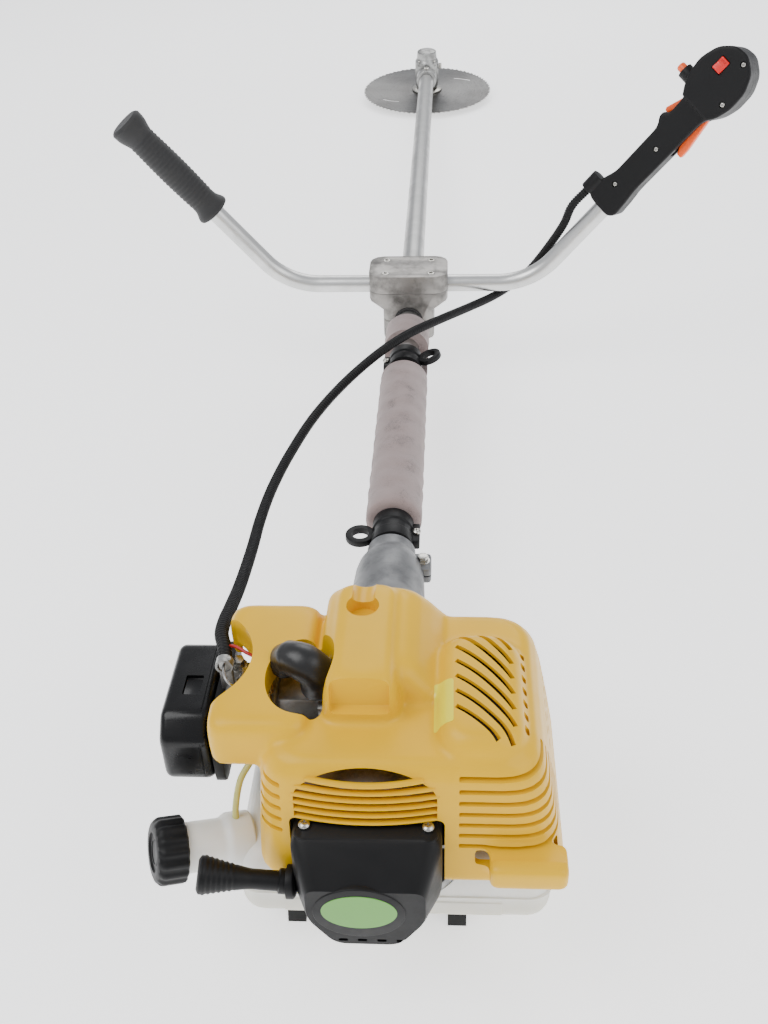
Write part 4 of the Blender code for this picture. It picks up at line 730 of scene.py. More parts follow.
@dataclass(frozen=True)
class Rubber:
    """Moulded rubber or a soft grip compound: dull black with a fine pebbled skin and dusty high spots.

    Attributes:
        name: what it is and how it was made.
        colour: base colour.
        dust: colour of the powder that a rubber skin holds.
        pebble_mm: size of the pebbles.
        pebble_depth: their height, in millimetres.
        roughness: of the skin.
    """

    name: str
    colour: str
    dust: str
    pebble_mm: float = 1.3
    pebble_depth: float = 0.12
    roughness: float = 0.68

    def material(self) -> bpy.types.Material:
        """Build the material."""
        material, tree, shader = blank_material(self.name, {"IOR": 1.52, "Sheen Weight": 0.08})
        place = node(tree, "TexCoord").outputs["Object"]
        dusty = noise(tree, place, 38.0, 6.0, 0.7)
        tone = ramp(tree, dusty, [(0.45, linear(self.colour)), (0.85, linear(self.dust))])
        tree.links.new(tone, shader.inputs["Base Color"])
        set_roughness(tree, shader, dusty, (0.3, 0.8), (self.roughness - 0.08, self.roughness + 0.14))
        pebble = node(tree, "TexVoronoi", {"feature": "SMOOTH_F1"},
                      {"Vector": place, "Scale": 1 / (self.pebble_mm * MM), "Smoothness": 0.4})
        set_relief(tree, shader, pebble.outputs["Distance"], 0.8, self.pebble_depth, invert=True)
        return material


@dataclass(frozen=True)
class BareMetal:
    """Drawn, rolled or plated metal: long fine lines along one direction and a soft sheen.

    Attributes:
        name: what it is and how it was made.
        colour: the metal's colour.
        roughness: across the lines.
        line_mm: width of a line.
        stretch: how many times longer than wide a line is.
        along: the local axis that the lines follow.
        depth: height of the lines, in millimetres.
        tarnish: colour of the dull patches.
    """

    name: str
    colour: str
    tarnish: str
    roughness: float = 0.3
    line_mm: float = 0.25
    stretch: float = 120.0
    along: Axis = Axis.Y
    depth: float = 0.01

    def material(self) -> bpy.types.Material:
        """Build the material."""
        material, tree, shader = blank_material(self.name, {"Metallic": 1.0})
        place = node(tree, "TexCoord").outputs["Object"]
        squeeze = [1 / self.stretch if axis is self.along else 1.0 for axis in Axis]
        mapped = node(tree, "Mapping", sockets={"Vector": place, "Scale": squeeze})
        lines = noise(tree, mapped.outputs["Vector"], 1 / (self.line_mm * MM), 3.0)
        cloud = noise(tree, place, 30.0, 5.0, 0.6)
        tone = ramp(tree, cloud, [(0.35, linear(self.colour)), (0.80, linear(self.tarnish))])
        tree.links.new(tone, shader.inputs["Base Color"])
        mixed = node(tree, "Math", {"operation": "MULTIPLY_ADD"}, {0: lines, 1: 0.6, 2: cloud})
        set_roughness(tree, shader, mixed.outputs["Value"], (0.5, 1.2),
                      (self.roughness - 0.06, self.roughness + 0.14))
        set_relief(tree, shader, lines, 0.5, self.depth)
        return material


@dataclass(frozen=True)
class CastMetal:
    """Die-cast aluminium or painted casting: an orange-peel skin with darker pores and rubbed edges.

    Attributes:
        name: what it is and how it was made.
        colour: the skin's colour.
        pore: colour in the pores.
        metallic: 1 for bare metal, less under a silver paint.
        roughness: of the skin.
        peel_mm: size of the skin's texture.
        depth: its height, in millimetres.
    """

    name: str
    colour: str
    pore: str
    metallic: float = 1.0
    roughness: float = 0.45
    peel_mm: float = 1.1
    depth: float = 0.06

    def material(self) -> bpy.types.Material:
        """Build the material."""
        material, tree, shader = blank_material(self.name, {"Metallic": self.metallic})
        place = node(tree, "TexCoord").outputs["Object"]
        cloud = noise(tree, place, 55.0, 7.0, 0.62)
        tone = ramp(tree, cloud, [(0.30, linear(self.pore)), (0.55, linear(self.colour)),
                                  (0.85, shade(self.colour, 1.12))])
        tree.links.new(tone, shader.inputs["Base Color"])
        set_roughness(tree, shader, cloud, (0.3, 0.7), (self.roughness + 0.1, self.roughness - 0.05))
        set_relief(tree, shader, noise(tree, place, 1 / (self.peel_mm * MM), 4.0), 0.7, self.depth)
        return material


@dataclass(frozen=True)
class GroundDisc:
    """Saw steel ground on a turning table: fine rings round the arbor and fans of light across them.

    Attributes:
        name: what it is and how it was made.
        colour: the steel's colour.
        stain: colour of its oily patches.
        ring_mm: width of a grinding line.
    """

    name: str = "saw_steel_ground"
    colour: str = "#8A8987"
    stain: str = "#696765"
    ring_mm: float = 0.5

    def material(self) -> bpy.types.Material:
        """Build the material; the piece's UV map holds turn and radius in metres."""
        values = {"Metallic": 1.0, "Anisotropic": 0.75, "Anisotropic Rotation": 0.0}
        material, tree, shader = blank_material(self.name, values)
        around = node(tree, "Tangent", {"direction_type": "UV_MAP", "uv_map": "UVMap"})
        tree.links.new(around.outputs["Tangent"], shader.inputs["Tangent"])
        round_map = node(tree, "UVMap", {"uv_map": "UVMap"}).outputs["UV"]
        mapped = node(tree, "Mapping", sockets={"Vector": round_map, "Scale": (0.02, 1.0, 1.0)})
        rings = noise(tree, mapped.outputs["Vector"], 1 / (self.ring_mm * MM), 3.0)
        place = node(tree, "TexCoord").outputs["Object"]
        tone = ramp(tree, noise(tree, place, 16.0, 5.0), [(0.40, linear(self.colour)),
                                                          (0.75, linear(self.stain))])
        tree.links.new(tone, shader.inputs["Base Color"])
        set_roughness(tree, shader, rings, (0.3, 0.7), (0.24, 0.38))
        set_relief(tree, shader, rings, 0.4, 0.01)
        return material


@dataclass(frozen=True)
class OpenFoam:
    """Cut NBR foam tube: a dull grey-pink skin of open cells, darker in its hollows and low patches, a painted
    shade.

    Attributes:
        name: what it is and how it was made.
        colour: the skin's colour.
        cell: colour inside the cells, a painted shade in their hollows.
        cell_mm: size of a cell, drawn coarser than the real 0.3 mm so that it shows.
    """

    name: str = "foam_nbr_cut"
    colour: str = "#8B7B78"
    cell: str = "#5C504E"
    cell_mm: float = 0.8

    def material(self) -> bpy.types.Material:
        """Build the material."""
        material, tree, shader = blank_material(self.name,
                                                {"Roughness": 0.95, "IOR": 1.4, "Sheen Weight": 0.25,
                                                            "Sheen Roughness": 0.6})
        place = node(tree, "TexCoord").outputs["Object"]
        cells = node(tree, "TexVoronoi", sockets={"Vector": place, "Scale": 1 / (self.cell_mm * MM)})
        cloud = noise(tree, place, 45.0, 5.0, 0.6)
        mixed = node(tree, "Math", {"operation": "MULTIPLY_ADD"},
                     {0: cells.outputs["Distance"], 1: 0.35, 2: cloud})
        # Colour follows the relief: painted shade in the cells' hollows and low patches, painted light on the
        # highest parts.
        tone = ramp(tree, mixed.outputs["Value"], [(0.42, linear(self.cell)), (0.62, linear(self.colour)),
                                                   (0.95, shade(self.colour, 1.18))])
        tree.links.new(tone, shader.inputs["Base Color"])
        set_relief(tree, shader, mixed.outputs["Value"], 0.7, 0.3)
        return material


@dataclass(frozen=True)
class BlownPolyethylene:
    """Blow-moulded polyethylene: milky and waxy, with light that goes a few millimetres in.

    Attributes:
        name: what it is and how it was made.
        colour: the wall's colour.
        tint: darker, warmer colour that the wall takes towards the bottom of the tank.
    """

    name: str = "polyethylene_blown"
    colour: str = "#E9E8E3"
    tint: str = "#DAD7C8"

    def material(self) -> bpy.types.Material:
        """Build the material."""
        values = {"IOR": 1.51, "Subsurface Weight": 0.35, "Subsurface Radius": (0.010, 0.009, 0.007),
                  "Subsurface Scale": 1.0}
        material, tree, shader = blank_material(self.name, values)
        place = node(tree, "TexCoord").outputs["Object"]
        cloud = noise(tree, place, 14.0, 4.0)
        # The wall turns darker and warmer towards the bottom, with noise on top.
        height = node(tree, "SeparateXYZ", sockets={"Vector": place})
        low = node(tree, "MapRange", sockets={"Value": height.outputs["Z"], "From Min": 0.035,
                                              "From Max": 0.060,
                                              "To Min": 0.35, "To Max": 0.0})
        cloud_and_bottom = node(tree, "Math", {"operation": "ADD"}, {0: cloud, 1: low.outputs["Result"]})
        tone = ramp(tree, cloud_and_bottom.outputs["Value"], [(0.45, linear(self.colour)), (0.85, linear(self.tint))])
        tree.links.new(tone, shader.inputs["Base Color"])
        rub = noise(tree, place, 160.0, 6.0)
        set_roughness(tree, shader, rub, (0.3, 0.7), (0.34, 0.50))
        set_relief(tree, shader, rub, 0.5, 0.05)
        return material


@dataclass(frozen=True)
class BraidedCord:
    """Braided nylon: slanting strands with painted shade in the darker valleys between them, and a dry sheen.

    Attributes:
        name: what it is and how it was made.
        colour: the strands' colour.
        valley: colour between them, a painted shade in the valleys.
        strand_mm: distance between strands.
    """

    name: str
    colour: str
    valley: str
    strand_mm: float = 1.6

    def material(self) -> bpy.types.Material:
        """Build the material."""
        material, tree, shader = blank_material(self.name, {"Roughness": 0.7, "Sheen Weight": 0.2})
        place = node(tree, "TexCoord").outputs["Object"]
        turned = node(tree, "Mapping", sockets={"Vector": place, "Rotation": (0.6, 0.4, 0.78)})
        weave = node(tree, "TexWave", {"bands_direction": "X"},
                     {"Vector": turned.outputs["Vector"], "Scale": 0.31 / (self.strand_mm * MM),
                      "Distortion": 1.5,
                      "Detail": 1.0})
        # Painted shade: the weave's low valleys, which the bump also sinks, take the darker valley colour.
        tone = ramp(tree, weave.outputs["Fac"], [(0.2, linear(self.valley)), (0.6, linear(self.colour))])
        tree.links.new(tone, shader.inputs["Base Color"])
        set_relief(tree, shader, weave.outputs["Fac"], 0.8, 0.2)
        return material


@dataclass(frozen=True)
class Finishes:
    """Every finish of the machine, each made once."""

    yellow: bpy.types.Material
    black: bpy.types.Material
    black_gloss: bpy.types.Material
    rubber: bpy.types.Material
    boot: bpy.types.Material
    orange: bpy.types.Material
    red: bpy.types.Material
    tank: bpy.types.Material
    tube: bpy.types.Material
    ribbed: bpy.types.Material
    bar: bpy.types.Material
    casting: bpy.types.Material
    clamp: bpy.types.Material
    housing: bpy.types.Material
    zinc: bpy.types.Material
    brass: bpy.types.Material
    steel: bpy.types.Material
    blade: bpy.types.Material
    muffler: bpy.types.Material
    bronze: bpy.types.Material
    foam: bpy.types.Material
    ceramic: bpy.types.Material
    label_green: bpy.types.Material
    label_yellow: bpy.types.Material
    wire_red: bpy.types.Material
    fuel_line: bpy.types.Material
    rope: bpy.types.Material

    @classmethod
    def make(cls) -> Finishes:
        """Build every finish; the comment above each says what it gives the eye."""
        recipes = {
            # Saturated warm yellow with soft broad highlights on its rounded edges.
            "yellow": MouldedPlastic("abs_yellow_polished_mould", "#E2B000", roughness=0.32, grain_mm=1.6,
                                     grain_depth=0.02, mottle=0.04, coat=0.05, scuff=0.10, shine=0.22),
            # Deep matt black that breaks highlights up into a fine sparkle.
            "black": MouldedPlastic("nylon_black_spark_textured", "#0B0B0C", roughness=0.44, grain_mm=0.7,
                                    grain_depth=0.05, mottle=0.15, scuff=0.14, shine=0.25),
            # Wet-looking black with narrow highlights along each chamfer.
            "black_gloss": MouldedPlastic("nylon_black_polished_mould", "#070708", roughness=0.24,
                                          grain_mm=1.8,
                                          grain_depth=0.03, mottle=0.15, coat=0.08, scuff=0.12, shine=0.28),
            # Dusty charcoal grip with no clear reflection.
            "rubber": Rubber("rubber_grip_moulded", "#121213", "#2B2A29"),
            # Smooth black elbow with one soft window of light.
            "boot": Rubber("rubber_boot_silicone", "#070708", "#121212", pebble_mm=2.4, pebble_depth=0.05,
                           roughness=0.36),
            # Signal orange controls that stand out from the black handle.
            "orange": MouldedPlastic("nylon_orange_moulded", "#F0590B", roughness=0.34, grain_mm=1.0,
                                     mottle=0.06),
            # Clear red rocker.
            "red": MouldedPlastic("nylon_red_moulded", "#D8201C", roughness=0.30, grain_mm=1.0,
                                  grain_depth=0.02,
                                  mottle=0.06),
            # Milky wall with soft shadows inside it.
            "tank": BlownPolyethylene(),
            # Long grey streaks that run down the shaft.
            "tube": BareMetal("aluminium_tube_drawn", "#B9B9B7", "#A3A3A1", roughness=0.34, line_mm=0.22,
                              stretch=220.0),
            # Paler satin lines under the ribs of the tube's rear end.
            "ribbed": BareMetal("aluminium_tube_satin_anodised", "#D2D0CC", "#BDBBB7", roughness=0.40,
                                line_mm=0.5,
                                stretch=200.0),
            # Bright bar with a broad soft highlight that follows its bends.
            "bar": BareMetal("aluminium_bar_bent", "#D6D6D4", "#BDBDBB", roughness=0.34, line_mm=0.3,
                             stretch=60.0, along=Axis.X),
            # Pale grey casting with dark pores.
            "casting": CastMetal("aluminium_die_cast", "#A8A8A6", "#6E6D6B", roughness=0.42),
            # Darker tumbled casting with blunt, clouded reflections.
            "clamp": CastMetal("aluminium_clamp_tumbled", "#8F8C88", "#5E5C59", metallic=0.9, roughness=0.40,
                               peel_mm=1.8, depth=0.05),
            # Mid-grey silver paint, half metal and half skin.
            "housing": CastMetal("aluminium_housing_silver_paint", "#727374", "#57585A", metallic=0.40,
                                 roughness=0.42, peel_mm=1.3, depth=0.05),
            # Small bright points with a warm cast.
            "zinc": BareMetal("steel_zinc_plated", "#C4C2BC", "#9A978F", roughness=0.24, line_mm=0.4,
                              stretch=6.0),
            # Warm gold of small turned parts.
            "brass": BareMetal("brass_turned", "#C49A54", "#8A6A38", roughness=0.28, line_mm=0.3,
                               stretch=8.0),
            # Neutral turned steel inside the machine.
            "steel": BareMetal("steel_turned_ground", "#A9A8A6", "#7F7E7C", roughness=0.26, line_mm=0.3,
                               stretch=10.0),
            # Dark ground steel with fans of light across fine rings.
            "blade": GroundDisc(),
            # Near-black box with brown heat stains.
            "muffler": CastMetal("steel_muffler_heat_painted", "#2C2A28", "#4A3526", metallic=0.7,
                                 roughness=0.55,
                                 peel_mm=1.0, depth=0.05),
            # Dull brown grains.
            "bronze": CastMetal("bronze_bush_sintered", "#8A6A3C", "#5C4526", roughness=0.48, peel_mm=0.6,
                                depth=0.03),
            # Soft grey-pink with no highlight at all.
            "foam": OpenFoam(),
            # Clean white glaze with sharp points of light.
            "ceramic": MouldedPlastic("ceramic_insulator_glazed", "#E6E3DA", roughness=0.12, grain_mm=3.0,
                                      grain_depth=0.01, mottle=0.03, coat=0.4, scuff=0.04),
            # Flat leaf green under a thin clear film.
            "label_green": MouldedPlastic("vinyl_label_green", "#539B26", roughness=0.30, grain_mm=2.5,
                                          grain_depth=0.01, mottle=0.04, coat=0.3, scuff=0.06),
            # Flat lemon yellow, greener than the cover under it.
            "label_yellow": MouldedPlastic("vinyl_label_yellow", "#E9DC1E", roughness=0.28, grain_mm=2.5,
                                           grain_depth=0.01, mottle=0.04, coat=0.3, scuff=0.06),
            # Thin bright red line.
            "wire_red": MouldedPlastic("pvc_wire_red", "#A81E1A", roughness=0.35, grain_mm=1.5,
                                       grain_depth=0.02,
                                       mottle=0.08),
            # Straw-coloured hose that glows a little where light passes.
            "fuel_line": MouldedPlastic("polyurethane_fuel_line", "#C9C77A", roughness=0.22, grain_mm=2.0,
                                        grain_depth=0.01, mottle=0.08, coat=0.2, scuff=0.06, glow=0.3),
            # Off-white strands.
            "rope": BraidedCord("nylon_rope_braided", "#E4E1D8", "#8D8A82"),
        }
        return cls(**{part: recipe.material() for part, recipe in recipes.items()})


# ============================================================ engine
@dataclass
class EngineCover:
    """Moulded cover of the engine, around the crank line.

    Attributes:
        wall: thickness of the moulding.
        voxel: size of the faces that the fillets are made of.
        body: ranges in x, y and z of the main hood; the other ranges are read the same way.
        bulge: hood over the muffler.
        block: raised middle hood.
        shoulder: hood that slopes from the block down to the bulge.
        wing: hood over the carburettor.
        slot: height of a cooling slot.
        slot_pitch: distance between the long slots.
        window: ranges in x and z of the arched window in the rear wall.
        slats: slats in the window.
        slot_field: ranges in x and y of the bulge's curved slots.
        slot_step: distance along y between the curved slots.
        slot_slope: how far a curved slot runs back for each step to the right.
        boot_well: centre, half width and half length of the spark plug's well.
        scoop_centre: centre and radius of the scoop in the wing's left side.
        blind_hole: centre and radius of the hole in the block's top.
    """

    wall: float = 0.0026
    voxel: float = 0.0021
    body: tuple = ((-0.072, 0.124), (-0.088, 0.074), (-0.014, 0.078))
    bulge: tuple = ((0.036, 0.108), (-0.080, 0.052), (0.040, 0.091))
    block: tuple = ((-0.031, 0.021), (-0.042, 0.066), (0.060, 0.109))
    shoulder: tuple = ((-0.034, 0.064), (-0.030, 0.071), (0.056, 0.1030))
    wing: tuple = ((-0.099, -0.036), (-0.058, 0.067), (0.056, 0.0885))
    slot: float = 0.0034
    slot_pitch: float = 0.0085
    window: tuple = ((-0.044, 0.043), (0.034, 0.0745))
    slats: int = 6
    slot_field: tuple = ((0.0540, 0.0895), (-0.0640, 0.0300))
    slot_step: float = 0.0132
    slot_slope: float = 1.15
    boot_well: tuple = ((-0.0445, -0.010), 0.0225, 0.033)
    scoop_centre: tuple = ((-0.126, 0.006), 0.048)
    blind_hole: tuple = ((-0.007, 0.034), 0.0108)

    @staticmethod
    def hood(ranges: tuple, taper: tuple, radius: float, inset: float) -> bmesh.types.BMesh:
        """Build one hood.

        Args:
            ranges: its x, y and z ranges.
            taper: how far each side leans in at the top: left, right, rear, front.
            radius: rounding of its upright corners.
            inset: how much smaller it is on every side, for the inner face of the wall.

        Returns:
            The solid hood.
        """
        (x0, x1), (y0, y1), (z0, z1) = ranges
        left, right, rear, front = taper
        sections = []
        foot = z0 - (0.02 if inset else 0.0)
        for share, soft in ((0.0, 0.0), (0.35, 0.0), (0.70, 0.0006), (0.88, 0.0022), (0.97, 0.0056),
                            (1.0, 0.0100)):
            outline = rounded(rectangle((x0 + inset + left * share + soft, x1 - inset - right * share - soft),
                                        (y0 + inset + rear * share + soft,
                                         y1 - inset - front * share - soft)),
                              radius, 5)
            sections.append((outline, foot + (z1 - inset - foot) * share))
        return lofted(sections)

    def hoods(self, inset: float) -> bmesh.types.BMesh:
        """Collect the five hoods and the exhaust's duct."""
        parts = [self.hood(self.body, (0.006, 0.016, 0.009, 0.006), 0.026, inset),
                 self.hood(self.bulge, (0.006, 0.012, 0.012, 0.020), 0.024, inset),
                 self.hood(self.block, (0.003, 0.003, 0.001, 0.003), 0.012, inset),
                 self.hood(self.shoulder, (0.0, 0.036, 0.010, 0.004), 0.014, inset),
                 self.hood(self.wing, (-0.002, 0.0, 0.002, 0.004), 0.013, inset)]
        if not inset:
            parts.append(slab((0.0745, -0.1035, -0.0005), (0.1225, -0.080, 0.0185), 0.004, 3))
        return merged(*parts)

    def pockets(self, wall: float) -> list[bmesh.types.BMesh]:
        """Build the hollows in the outer skin, grown by a wall for the inner one."""
        (scoop_x, scoop_y), scoop_r = self.scoop_centre
        (well_x, well_y), half_x, half_y = self.boot_well
        (hole_x, hole_y), hole_r = self.blind_hole
        low = -0.05 if not wall else 0.0695
        well = extruded([(well_x + (half_x + wall) * x, well_y + (half_y + wall) * y) for x, y in disc(1.0, 48)],
                        low, 0.14)
        scoop = extruded([(scoop_x + (scoop_r + wall) * x, scoop_y + (scoop_r + wall) * y)
                          for x, y in disc(1.0, 64)], 0.0, 0.14)
        hole = extruded([(hole_x + (hole_r + wall) * x, hole_y + (hole_r + wall) * y) for x, y in disc(1.0,
                                                                                                       48)],
                        0.0965 - wall, 0.14)
        step = slab((-0.0235 - wall, -0.06, 0.0855 - wall), (0.0135 + wall, -0.0330 + wall, 0.14), 0.002, 2)
        channel = swept([Vector((hole_x, hole_y + 0.006 + 0.036 * t, 0.1105 - 0.004 * t)) for t in (0, 0.35,
                                                                                                    0.7, 1)],
                        0.0078 + wall, 24)
        return [well, scoop, hole, step, channel]

    def arch(self, grow: float) -> bmesh.types.BMesh:
        """Build the solid that opens the arched window, from inside the wall to behind it."""
        (x0, x1), (z0, z1) = self.window
        middle, half = (x0 + x1) / 2, (x1 - x0) / 2 + grow
        rise = 0.020
        outline = [(middle - half, z0 - grow), (middle + half, z0 - grow), (middle + half, z1 - rise)]
        outline += [(middle + half * math.cos(math.pi * k / 24),
                     z1 - rise + (rise + grow) * math.sin(math.pi * k / 24))
                    for k in range(1, 24)]
        outline.append((middle - half, z1 - rise))
        return extruded(outline, -0.094, -0.060, axis=Axis.Y)

    def rear_wall(self, z: float) -> float:
        """Return the y of the rear wall's outer face at a height."""
        return self.body[1][0] + 0.009 * (z - self.body[2][0]) / (self.body[2][1] - self.body[2][0])

    def slat(self, number: int) -> bmesh.types.BMesh:
        """Build one bowed slat of the window."""
        (x0, x1), (z0, z1) = self.window
        height = z0 + 0.0055 + number * (z1 - z0 - 0.011) / (self.slats - 1)
        reach = (x1 - x0) / 2 * math.sqrt(max(1 - max((height - z1 + 0.020) / 0.023, 0.0) ** 2, 0.05)) + 0.001
        middle = (x0 + x1) / 2
        points = [Vector((middle + reach * s, self.rear_wall(height) + 0.0036 - 0.0062 * (1 - s * s),
                          height - 0.0012 * s * s)) for s in (k / 12 - 1 for k in range(25))]
        return swept(points, 0.0014, 14, 2.2, up=(0.0, 0.35, 1.0))

    def arc_slots(self) -> list[bmesh.types.BMesh]:
        """Build the curved slots in the bulge's top, with the short row at its right."""
        cuts = []
        (x0, x1), (y0, y1) = self.slot_field
        middle = (x0 + x1) / 2
        for number in range(8):
            points = []
            for k in range(25):
                x = x0 + (x1 - x0) * k / 24
                bow = 15.0 * (0.018 ** 2 - (x - middle) ** 2)
                y = y0 + 0.0060 + self.slot_step * number + (middle - x) * self.slot_slope + bow
                if y0 < y < y1:
                    points.append(Vector((x, y, 0.088)))
            if len(points) > 4:
                cuts.append(swept(points, 0.0018, 12))
        for cutter in cuts:
            moved(cutter, Matrix.Translation((0, 0, 0.088)) @ Matrix.Diagonal((1, 1, 9.0, 1))
                  @ Matrix.Translation((0, 0, -0.088)))
        for number in range(7):
            rear = -0.0500 + number * 0.0108
            cuts.append(slab((0.0955, rear, 0.070), (0.0985, rear + 0.0055, 0.100), 0.0012, 2))
        return cuts

    def side_slots(self) -> list[bmesh.types.BMesh]:
        """Build the long slots that go round the right rear corner, and the short ones at the left rear."""
        cuts = []
        for number in range(7):
            low = 0.0165 + number * self.slot_pitch
            cuts.append(slab((0.056, -0.095, low), (0.150, -0.026 - 0.003 * number, low + self.slot), 0.0010,
                             2))
        for number in range(5):
            low = 0.0250 + number * self.slot_pitch
            cuts.append(slab((-0.0665, -0.100, low), (-0.0520, -0.065, low + self.slot), 0.0010, 2))
        for number in range(6):
            rear = -0.016 + number * 0.012
            cuts.append(slab((0.108, rear, 0.030), (0.150, rear + 0.0075, 0.0335), 0.0010, 2))
            cuts.append(slab((0.106, rear, 0.042), (0.150, rear + 0.0075, 0.0455), 0.0010, 2))
        return cuts

    def openings(self) -> list[bmesh.types.BMesh]:
        """Build the gaps for the starter, the clutch, the carburettor and the exhaust."""
        return [slab((-0.0475, -0.120, -0.06), (0.0475, -0.068, 0.0385), 0.004, 3),
                spun([(0, 0.055), (0.050, 0.055), (0.050, 0.090), (0, 0.090)], 64, Axis.Y),
                slab((-0.050, 0.055, -0.06), (0.050, 0.090, 0.0)),
                slab((-0.105, -0.024, -0.05), (-0.058, 0.044, 0.0665), 0.003, 2),
                slab((0.066, -0.1005, 0.0025), (0.1180, -0.070, 0.0150), 0.003, 2)]

    @staticmethod
    def laid_on(surface: bmesh.types.BMesh, x_range: tuple[float, float], y_range: tuple[float, float],
                radius: float, thickness: float = 0.0003) -> bmesh.types.BMesh:
        """Lay a thin label on a surface from above.

        Args:
            surface: what it sticks to.
            x_range: the label's range in x.
            y_range: its range in y.
            radius: of its corners.
            thickness: of the label.

        Returns:
            The label.
        """
        tree = BVHTree.FromBMesh(surface)
        mesh = extruded(rounded(rectangle(x_range, y_range), radius, 6), 0.0, 0.001)
        rest = [face for face in mesh.faces if face.normal.z < 0.5]
        bmesh.ops.delete(mesh, geom=rest, context="FACES")
        for axis, (low, high) in enumerate((x_range, y_range)):
            side = Vector((axis == 0, axis == 1, 0))
            for k in range(1, 14):
                whole = mesh.verts[:] + mesh.edges[:] + mesh.faces[:]
                bmesh.ops.bisect_plane(mesh, geom=whole, plane_co=side * (low + (high - low) * k / 14),
                                       plane_no=side)
        for vert in mesh.verts:
            hit = tree.ray_cast(Vector((vert.co.x, vert.co.y, 0.2)), Vector((0, 0, -1)))[0]
            vert.co.z = hit.z + thickness
        bmesh.ops.recalc_face_normals(mesh, faces=mesh.faces)
        bmesh.ops.solidify(mesh, geom=mesh.faces, thickness=thickness)
        return mesh

    def build(self, machine: Machine, finishes: Finishes) -> None:
        """Build the cover, the window's slats and its blank label."""
        outer = cut(melted(self.hoods(0.0), self.voxel, 3), *self.pockets(0.0))
        inner = cut(melted(self.hoods(self.wall), 0.0032, 2), *self.pockets(self.wall))
        shell = cut(outer, inner)
        shell = cut(shell, self.arch(0.0), *self.openings())
        shell = cut(shell, *self.arc_slots(), *self.side_slots())
        crank = machine.lines.crank
        label = self.laid_on(shell, (0.0405, 0.0525), (-0.0500, -0.0140), 0.002)
        machine.add("engine_cover_shell", shell, finishes.yellow, "engine_cover", crank,
                    ("engine_cover",), crease=42.0)
        slats = merged(*[self.slat(number) for number in range(self.slats)])
        machine.add("engine_cover_slats", slats, finishes.yellow, "engine_cover", crank, crease=60.0)
        machine.add("blank_label_cover", label, finishes.label_yellow, "engine_cover", crank)


